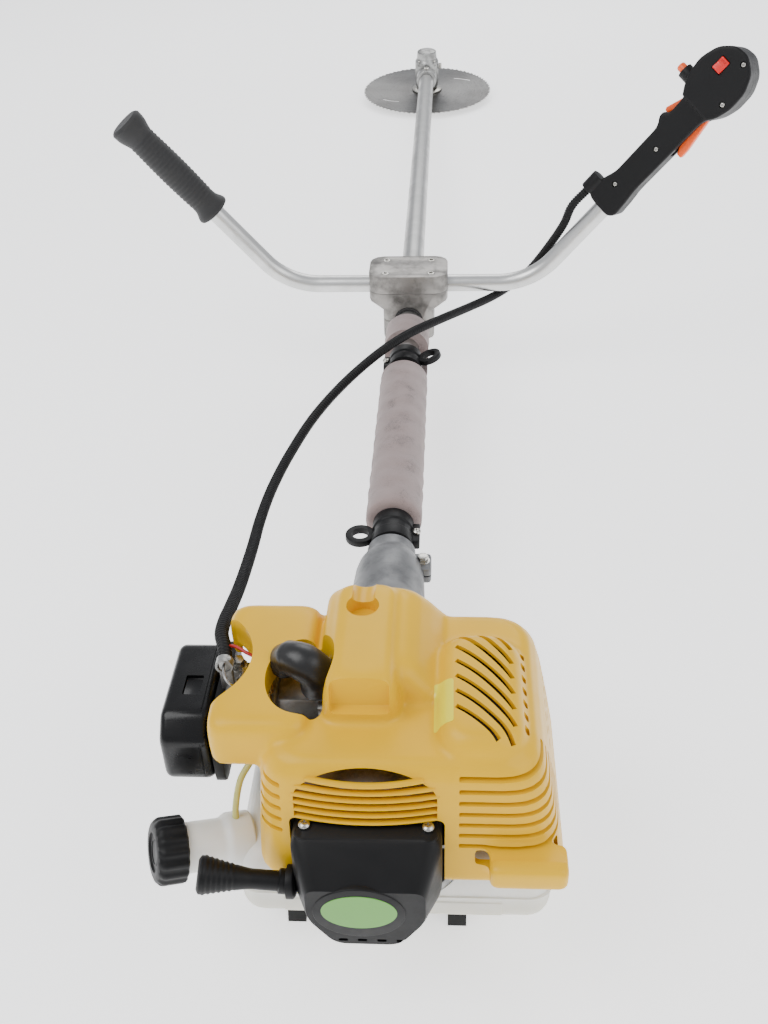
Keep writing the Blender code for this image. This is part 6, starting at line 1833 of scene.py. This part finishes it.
@dataclass
class SawBlade:
    """Circular saw blade, around the spindle line.

    Attributes:
        radius: to the tips of the teeth.
        depth: of a tooth.
        teeth: how many there are.
        arbor: radius of the hole.
        top: height of the upper face.
        thickness: of the plate.
    """

    radius: float = 0.1275
    depth: float = 0.0040
    teeth: int = 80
    arbor: float = 0.0127
    top: float = -0.0323
    thickness: float = 0.0014

    def slot(self, turn: float) -> bmesh.types.BMesh:
        """Build the solid of one curved slot near the rim."""
        middle = self.top - self.thickness / 2
        points = [Vector(((0.100 - 0.018 * t) * math.cos(turn + 0.35 * t),
                          (0.100 - 0.018 * t) * math.sin(turn + 0.35 * t),
                          middle)) for t in (k / 14 for k in range(15))]
        return swept(points, 0.0028, 16, 1.0)

    def plate(self) -> bmesh.types.BMesh:
        """Build the blade with its teeth, its slots and a map of turn and radius."""
        low, root = self.top - self.thickness, self.radius - self.depth
        radii = [self.arbor + (root - self.arbor) * k / 7 for k in range(8)]
        profile = [(r, low) for r in radii] + [(r, self.top) for r in reversed(radii)]
        body = spun(profile, self.teeth * 2, ring=True)
        body = cut(body, self.slot(0.5), self.slot(0.5 + math.pi))
        teeth = []
        pitch = math.tau / self.teeth
        for index in range(self.teeth):
            turn = pitch * index
            corners = ((root - 0.0015, turn - pitch * 0.02), (root, turn + pitch * 0.06),
                       (self.radius - 0.0006, turn + pitch * 0.62), (self.radius, turn + pitch * 0.80),
                       (self.radius - 0.0008, turn + pitch * 0.84), (root + 0.0003, turn + pitch * 0.86),
                       (root - 0.0015, turn + pitch * 0.98))
            outline = [(r * math.cos(a), r * math.sin(a)) for r, a in corners]
            lean = 0.0002 if index % 2 else -0.0002
            teeth.append(moved(extruded(outline, low, self.top), at(0, 0, lean)))
        whole = merged(body, *teeth)
        self.map_round(whole)
        return whole

    @staticmethod
    def map_round(mesh: bmesh.types.BMesh) -> None:
        """Lay a UV map whose U is the turn, as a length, and whose V is the radius."""
        layer = mesh.loops.layers.uv.new("UVMap")
        for face in mesh.faces:
            centre = face.calc_center_median()
            home = math.atan2(centre.y, centre.x)
            for loop in face.loops:
                turn = math.atan2(loop.vert.co.y, loop.vert.co.x)
                turn += math.tau * round((home - turn) / math.tau)
                loop[layer].uv = (turn * 0.1, Vector(loop.vert.co[:2]).length)

    def build(self, machine: Machine, finishes: Finishes) -> None:
        """Build the blade."""
        machine.add("blade_saw", self.plate(), finishes.blade, "blade", machine.lines.spindle, ("blade",))


# ============================================================ handlebar and throttle
@dataclass
class Handlebar:
    """Handlebar, left grip and clamp, in the bar's plane and around the crank line.

    Attributes:
        radius: of the bar.
        straight: half of its straight middle.
        bend: radius of its bends.
        rise: angle of its arms above level.
        left_arm: length of the left arm after its bend.
        right_arm: length of the right arm after its bend.
        grip_start: where the grips start along the arms.
        grip_length: of the left grip.
        screw_at: distance of the clamp's screws from its middle, across and along.
        bar_y: the clamp's middle along the shaft.
        clamp_top: height of its upper face.
    """

    radius: float = 0.010
    straight: float = 0.105
    bend: float = 0.080
    rise: float = math.radians(52.0)
    left_arm: float = 0.213
    right_arm: float = 0.158
    grip_start: float = 0.083
    grip_length: float = 0.136
    screw_at: tuple[float, float] = (0.0265, 0.0190)
    bar_y: float = 0.706
    clamp_top: float = 0.055

    def arm_point(self, side: int, along: float) -> Vector:
        """Return a point on an arm's centre line, at a distance from its bend."""
        x = self.straight + self.bend * math.sin(self.rise) + along * math.cos(self.rise)
        z = self.bend * (1 - math.cos(self.rise)) + along * math.sin(self.rise)
        return Vector((side * x, 0.0, z))

    def bar(self) -> bmesh.types.BMesh:
        """Build the bent bar."""
        bends = [Vector((self.straight + self.bend * math.sin(a), 0.0, self.bend * (1 - math.cos(a))))
                 for a in (self.rise * k / 20 for k in range(21))]
        mirrored = [Vector((-p.x, 0.0, p.z)) for p in reversed(bends)]
        straight = [Vector((self.straight * (k / 6 - 1), 0, 0)) for k in range(1, 12)]
        arms = [[self.arm_point(side, length * k / 5) for k in range(1, 6)]
                for side, length in ((-1, self.left_arm), (1, self.right_arm))]
        points = arms[0][::-1] + mirrored + straight + bends + arms[1]
        return swept(points, self.radius, 32, up=(0.0, 1.0, 0.0))

    def grip(self) -> bmesh.types.BMesh:
        """Build the left grip: a flared rubber sleeve with fine rings."""
        inner, end = self.radius + 0.0003, self.left_arm - self.grip_start
        outer = []
        steps = 104
        for k in range(steps + 1):
            z = 0.003 + (self.grip_length - 0.006) * k / steps
            flare = 0.0045 * math.exp(-((z - 0.0035) / 0.0075) ** 2)
            flare += 0.0045 / (1 + math.exp(-(z - 0.1185) / 0.0032))
            swell = 0.0012 * math.sin(math.pi * min(max((z - 0.016) / 0.096, 0), 1))
            rings = 0.00030 * (1 if k % 4 < 2 else -1) * (0.020 < z < 0.112)
            outer.append((0.0150 + flare + swell + rings, z))
        profile = [(0, end + 0.0003), (inner, end + 0.0003), (inner, 0), (0.0165, 0),
                   (0.0186, 0.0010)] + outer
        profile += [(0.0180, self.grip_length - 0.0012), (0.0160, self.grip_length), (0, self.grip_length)]
        return spun(profile, 64)

    def build(self, machine: Machine, finishes: Finishes) -> None:
        """Build the bar, the grip, the clamp and its screws."""
        bar, crank = machine.lines.bar, machine.lines.crank
        machine.add("handlebar_bent", self.bar(), finishes.bar, "handlebar", bar, ("handlebar",))
        foot = bar @ Matrix.Translation(self.arm_point(-1, self.grip_start))
        foot = foot @ Matrix.Rotation(self.rise - math.radians(90), 4, "Y")
        machine.add("left_grip_rubber", self.grip(), finishes.rubber, "left_grip", foot, ("left_grip",),
                    crease=30.0)
        for node in ("clamp_cap", "clamp_body", "clamp_lower"):
            machine.refine(node, finishes.clamp, 0.0016, 3, 40.0)
        machine.refine("clamp_rubber", finishes.rubber, 0.0004)
        for number, (sy, sx) in enumerate(((-1, -1), (-1, 1), (1, -1), (1, 1)), start=1):
            name = f"clamp_screw_{number}"
            place = crank @ at(sx * self.screw_at[0], self.bar_y + sy * self.screw_at[1],
                               self.clamp_top - 0.0047)
            shank = spun([(0, -0.034), (0.0025, -0.034), (0.0025, 0.0006), (0, 0.0006)], 32)
            screw = merged(GearHead.socket_screw(0.00425, 0.005, 0.0042), shank)
            machine.add(name + "_shape", screw, finishes.zinc, name, place, (name,))


@dataclass
class ThrottleHandle:
    """Throttle handle and its controls, around the handle line.

    Attributes:
        length: of the handle; not used.
        grip_depth: half of the grip's thickness.
        head_depth: half of the head's thickness.
        head_start: where the head begins.
        bore: depth of the hole for the bar.
        gap: half of the seam between the two shells.
        button_at: middle of the hold button's boss.
        switch_at: middle of the stop switch.
    """

    length: float = 0.212
    grip_depth: float = 0.0140
    head_depth: float = 0.0215
    head_start: float = 0.146
    bore: float = 0.075
    gap: float = 0.0002
    button_at: tuple[float, float, float] = (-0.029, -0.0085, 0.158)
    switch_at: tuple[float, float, float] = (-0.010, -0.0215, 0.188)

    @staticmethod
    def outline() -> list[tuple[float, float]]:
        """Return the handle's side view in x and z."""
        return [(-0.022, 0.004), (-0.014, 0.0), (0.012, 0.0), (0.018, 0.006), (0.0165, 0.026),
                (0.0145, 0.040),
                (0.0150, 0.094), (0.0150, 0.138), (0.0240, 0.150), (0.0285, 0.166), (0.0275, 0.186),
                (0.0190, 0.202), (0.0030, 0.212), (-0.0130, 0.210), (-0.0260, 0.198), (-0.0315, 0.180),
                (-0.0300, 0.164), (-0.0240, 0.150), (-0.0175, 0.142), (-0.0165, 0.120), (-0.0225, 0.117),
                (-0.0225, 0.111), (-0.0160, 0.102), (-0.0155, 0.040), (-0.0215, 0.022), (-0.0260, 0.014)]

    def solid(self) -> bmesh.types.BMesh:
        """Build the handle's whole outer shape with soft edges."""
        shape = rounded(self.outline(), 0.006, 4)
        body = extruded(shape, -self.head_depth, self.head_depth, axis=Axis.Y)
        trims = []
        for side in (-1, 1):
            near, far = side * self.grip_depth, side * (self.head_depth + 0.01)
            trims.append(slab((-0.05, min(near, far), -0.01),
                              (0.05, max(near, far), self.head_start - 0.004)))
        return melted(cut(body, *trims), 0.0011, 7)

    def room(self) -> list[bmesh.types.BMesh]:
        """Build the hollows for the bar, the trigger, the lock and the switch."""
        half = 0.0058
        return [spun([(0, -0.01), (0.0103, -0.01), (0.0103, self.bore), (0, self.bore)], 48),
                slab((-0.002, -half, 0.090), (0.032, half, 0.148)),
                slab((-0.034, -half, 0.113), (0.0, half, 0.150)),
                slab((self.switch_at[0] - 0.0056, -0.0315, self.switch_at[2] - 0.00785),
                     (self.switch_at[0] + 0.0056, self.switch_at[1] + 0.009, self.switch_at[2] + 0.00785))]

    def shell(self, solid: bmesh.types.BMesh, side: int) -> bmesh.types.BMesh:
        """Cut one shell from the whole handle; side is -1 for the rear half and 1 for the front one."""
        near, far = side * self.gap, side * 0.05
        half = slab((-0.06, min(near, far), -0.02), (0.06, max(near, far), 0.24))
        shell = combined(solid, "INTERSECT", half)
        holes = self.room()
        if side < 0:
            boss = spun(soft_profile([(0, 0), (0.0085, 0), (0.0085, 0.020), (0, 0.020)], 0.0012, 3), 40)
            moved(boss, at(-0.0250, -0.0090, 0.0030))
            guard = spun(soft_profile([(0, -0.008), (0.0080, -0.008), (0.0080, 0.006), (0, 0.006)], 0.0008,
                                      3), 48, Axis.X)
            moved(guard, at(*self.button_at))
            shell = fused(shell, boss, guard)
            for x, z in ((-0.006, 0.0300), (0.0000, 0.0860), (0.0190, 0.1640), (0.0060, 0.2030)):
                depth = self.grip_depth if z < self.head_start else self.head_depth
                holes.append(moved(spun([(0, 0), (0.0031, 0), (0.0031, 0.01), (0, 0.01)], 32, Axis.Y),
                                   at(x, -depth - 0.0075, z)))
            pit = spun([(0, -0.03), (0.0053, -0.03), (0.0053, 0.006), (0, 0.006)], 40, Axis.X)
            holes.append(moved(pit, at(*self.button_at)))
        return cut(shell, *holes)

    def screws(self) -> bmesh.types.BMesh:
        """Build the shells' screws, sunk in the rear shell."""
        heads = []
        for x, z in ((-0.006, 0.0300), (0.0000, 0.0860), (0.0190, 0.1640), (0.0060, 0.2030)):
            depth = self.grip_depth if z < self.head_start else self.head_depth
            head = moved(Starter().screw(), Matrix.Scale(0.72, 4))
            heads.append(moved(head, at(x, -depth + 0.0022, z) @ Matrix.Rotation(math.radians(90), 4, "X")))
        return merged(*heads)

    def rocker(self) -> bmesh.types.BMesh:
        """Build the stop switch's rocker with its finger ridges."""
        outline = rounded([(0.0045, 0.0043), (-0.0005, 0.00725), (-0.0030, 0.0065), (-0.0014, 0.0),
                           (-0.0030, -0.0065), (-0.0005, -0.00725), (0.0045, -0.0043)], 0.0012, 4)
        body = extruded(outline, -0.005, 0.005, 0.0006, 3, Axis.X)
        ridges = [slab((-0.0036, -0.0030 + 0.0006 * abs(k) - 0.0005, 0.0012 * k + 0.0040 - 0.0003),
                       (0.0036, -0.0012, 0.0012 * k + 0.0040 + 0.0003), 0.0002, 1) for k in (-1, 0, 1)]
        return merged(body, *ridges)

    def button(self) -> bmesh.types.BMesh:
        """Build the hold button with a domed face."""
        profile = [(0, -0.0152), (0.0020, -0.0151), (0.0036, -0.0147), (0.0044, -0.0140), (0.0048, -0.0130),
                   (0.0048, 0.0), (0, 0.0)]
        return spun(profile, 48, Axis.X)

    def build(self, machine: Machine, finishes: Finishes) -> None:
        """Build the shells and the four controls."""
        handle = machine.lines.handle
        whole = self.solid()
        machine.add("throttle_shell_rear", self.shell(whole.copy(), -1), finishes.black, "handle_shell_rear",
                    handle,
                    ("handle_shell_rear",), crease=45.0)
        machine.add("throttle_shell_front", self.shell(whole, 1), finishes.black, "handle_shell_front",
                    handle,
                    ("handle_shell_front",), crease=45.0)
        machine.add("throttle_shell_screws", self.screws(), finishes.zinc, "handle_shell_rear", handle)
        machine.refine("throttle_trigger", finishes.orange, 0.0014, 4)
        machine.refine("trigger_lock", finishes.orange, 0.0009, 3)
        machine.add("hold_button_cap", self.button(), finishes.orange, "hold_button",
                    handle @ at(*self.button_at),
                    ("hold_button",))
        tilt = Matrix.Rotation(-math.radians(8.0), 4, "X")
        machine.add("stop_switch_rocker", self.rocker(), finishes.red, "stop_switch",
                    handle @ at(*self.switch_at) @ tilt, ("stop_switch",))


@dataclass
class Conduit:
    """Corrugated conduit with its thin cable, and the carburettor's lines, around the crank line.

    Attributes:
        diameter: of the conduit.
        pitch: length of one corrugation.
        depth: of a corrugation.
        route: points that it goes through, from the throttle handle to the carburettor.
    """

    diameter: float = 0.010
    pitch: float = 0.0030
    depth: float = 0.0008
    route: tuple = (
        (0.2006, 0.6971, 0.1479), (0.1852, 0.6999, 0.1284), (0.1775, 0.7060, 0.1040),
        (0.1617, 0.7168, 0.0716), (0.1430, 0.7240, 0.0420), (0.1220, 0.7210, 0.0240),
        (0.1000, 0.7060, 0.0165), (0.0720, 0.6720, 0.0190), (0.0370, 0.6200, 0.0280),
        (0.0040, 0.5800, 0.0310), (-0.0270, 0.5380, 0.0290), (-0.0600, 0.4880, 0.0210),
        (-0.0870, 0.4390, 0.0100), (-0.1050, 0.3790, 0.0040), (-0.1140, 0.3180, 0.0060),
        (-0.1160, 0.2600, 0.0130), (-0.1130, 0.1980, 0.0270), (-0.1100, 0.1320, 0.0450),
        (-0.1085, 0.0870, 0.0600), (-0.1082, 0.0650, 0.0670), (-0.1065, 0.0450, 0.0725),
        (-0.1015, 0.0285, 0.0755), (-0.0985, 0.0156, 0.0755),
    )

    def corrugated(self, points: Sequence[Vector]) -> bmesh.types.BMesh:
        """Build the conduit along its points."""

        def girth(distance: float) -> float:
            """Return the conduit's radius at a distance: a crest, a flank and a valley."""
            wave = math.cos(math.tau * distance / self.pitch)
            return self.diameter / 2 - self.depth * (1 - math.copysign(abs(wave) ** 0.6, wave)) / 2

        return swept(points, girth, 18)

    def lay(self, machine: Machine, name: str, route: Sequence[Point], diameter: float,
            finish: bpy.types.Material, like: str) -> None:
        """Lay a thin round line along a route."""
        crank = machine.lines.crank
        points = [crank @ point for point in smooth_points(route, 60)]
        piece = machine.add(name, swept(points, diameter / 2, 16), finish, like, crease=60.0)

    def build(self, machine: Machine, finishes: Finishes) -> None:
        """Build the conduit, the inner cable, the stop wire and the fuel line."""
        crank = machine.lines.crank
        rough = smooth_points(self.route, 400)
        steps = round(route_length(rough) / self.pitch) * 6
        points = [crank @ point for point in smooth_points(self.route, steps)]
        piece = machine.add("conduit_corrugated", self.corrugated(points), finishes.black, "throttle_conduit",
                            stands_for=("throttle_conduit",), crease=80.0)
        cable = ((-0.0985, 0.0165, 0.0758), (-0.0980, 0.0060, 0.0775), (-0.0950, -0.0030, 0.0760),
                 (-0.0900, -0.0050, 0.0720), (-0.0865, 0.0010, 0.0670), (-0.0860, 0.0060, 0.0630))
        self.lay(machine, "throttle_cable_inner", cable, 0.0018, finishes.steel, "carburettor")
        wire = ((-0.1000, 0.0300, 0.0745), (-0.0925, 0.0240, 0.0800), (-0.0800, 0.0180, 0.0775),
                (-0.0700, 0.0260, 0.0690), (-0.0620, 0.0330, 0.0600), (-0.0560, 0.0350, 0.0500))
        self.lay(machine, "stop_wire", wire, 0.0024, finishes.wire_red, "carburettor")
        fuel = ((-0.0900, -0.0500, -0.0195), (-0.0915, -0.0420, -0.0060), (-0.0890, -0.0290, 0.0080),
                (-0.0820, -0.0200, 0.0180), (-0.0780, -0.0120, 0.0260), (-0.0770, -0.0060, 0.0300))
        self.lay(machine, "fuel_line", fuel, 0.0045, finishes.fuel_line, "fuel_tank")


# ============================================================ studio
@dataclass
class Studio:
    """Floor, lights and camera.

    Attributes:
        camera_at: the camera's place around the crank line.
        right: the picture's right, around the crank line.
        forward: the way the camera looks.
        lens: focal length in millimetres on a 36 mm sensor.
        glow: light that the floor gives off, which keeps the shadows pale.
    """

    camera_at: tuple[float, float, float] = (0.0495, -0.512, 0.579)
    right: tuple[float, float, float] = (0.998, 0.051, -0.031)
    forward: tuple[float, float, float] = (-0.060, 0.809, -0.585)
    lens: float = 38.67
    glow: float = 1.1

    def camera(self, machine: Machine) -> None:
        """Place the camera."""
        data = bpy.data.cameras.new("camera")
        data.lens = self.lens
        data.clip_start = 0.02
        camera = bpy.data.objects.new("camera", data)
        back = -Vector(self.forward).normalized()
        up = back.cross(Vector(self.right)).normalized()
        camera.matrix_world = machine.lines.crank @ line_matrix(self.camera_at, self.right, up)
        bpy.context.scene.collection.objects.link(camera)
        bpy.context.scene.camera = camera

    def floor(self) -> None:
        """Lay the pale floor."""
        mesh = bmesh.new()
        bmesh.ops.create_grid(mesh, x_segments=2, y_segments=2, size=12.0)
        data = bpy.data.meshes.new("floor")
        mesh.to_mesh(data)
        mesh.free()
        values = {"Roughness": 0.85, "Emission Color": (1, 1, 1, 1), "Emission Strength": self.glow}
        material, tree, shader = blank_material("floor_painted_board", values)
        cloud = noise(tree, node(tree, "TexCoord").outputs["Object"], 1.2, 4.0)
        tone = ramp(tree, cloud, [(0.3, linear("#F4F4F4")), (0.7, linear("#FAFAFA"))])
        tree.links.new(tone, shader.inputs["Base Color"])
        data.materials.append(material)
        floor = bpy.data.objects.new("floor", data)
        bpy.context.scene.collection.objects.link(floor)

    @staticmethod
    def lamp(name: str, place: Point, aim: Point, size: float, watts: float) -> None:
        """Hang a square softbox that faces a point."""
        data = bpy.data.lights.new(name, "AREA")
        data.size = size
        data.energy = watts
        lamp = bpy.data.objects.new(name, data)
        lamp.rotation_euler = (Vector(aim) - Vector(place)).to_track_quat("-Z", "Y").to_euler()
        lamp.location = place
        bpy.context.scene.collection.objects.link(lamp)

    def build(self, machine: Machine) -> None:
        """Build the floor, the softboxes, the sky and the camera."""
        self.floor()
        self.lamp("key_softbox", (-1.3, -0.4, 2.2), (0.0, 0.5, 0.1), 1.6, 42.0)
        self.lamp("fill_softbox", (1.7, -0.6, 1.6), (0.0, 0.3, 0.1), 1.8, 22.0)
        self.lamp("back_softbox", (0.2, 2.8, 1.7), (0.0, 0.8, 0.1), 1.6, 26.0)
        world = bpy.data.worlds.new("studio")
        world.use_nodes = True
        world.node_tree.nodes["Background"].inputs["Color"].default_value = (0.93, 0.95, 1.0, 1.0)
        world.node_tree.nodes["Background"].inputs["Strength"].default_value = 0.75
        bpy.context.scene.world = world
        self.camera(machine)


def main() -> None:
    """Load the frame, build every piece on it and set up the picture."""
    logging.basicConfig(level=logging.INFO, format="%(asctime)s %(message)s", stream=sys.stdout)
    machine = Machine(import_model())
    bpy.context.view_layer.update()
    finishes = Finishes.make()
    assemblies = (EngineCover(), EngineCore(), FuelSystem(), Starter(), ClutchAndTube(), GearHead(),
                  SawBlade(),
                  Handlebar(), ThrottleHandle(), Conduit())
    for assembly in assemblies:
        LOG.info("building %s", type(assembly).__name__)
        assembly.build(machine, finishes)
    Studio().build(machine)
    LOG.info("%d pieces", machine.count)


if __name__ == "__main__":
    main()
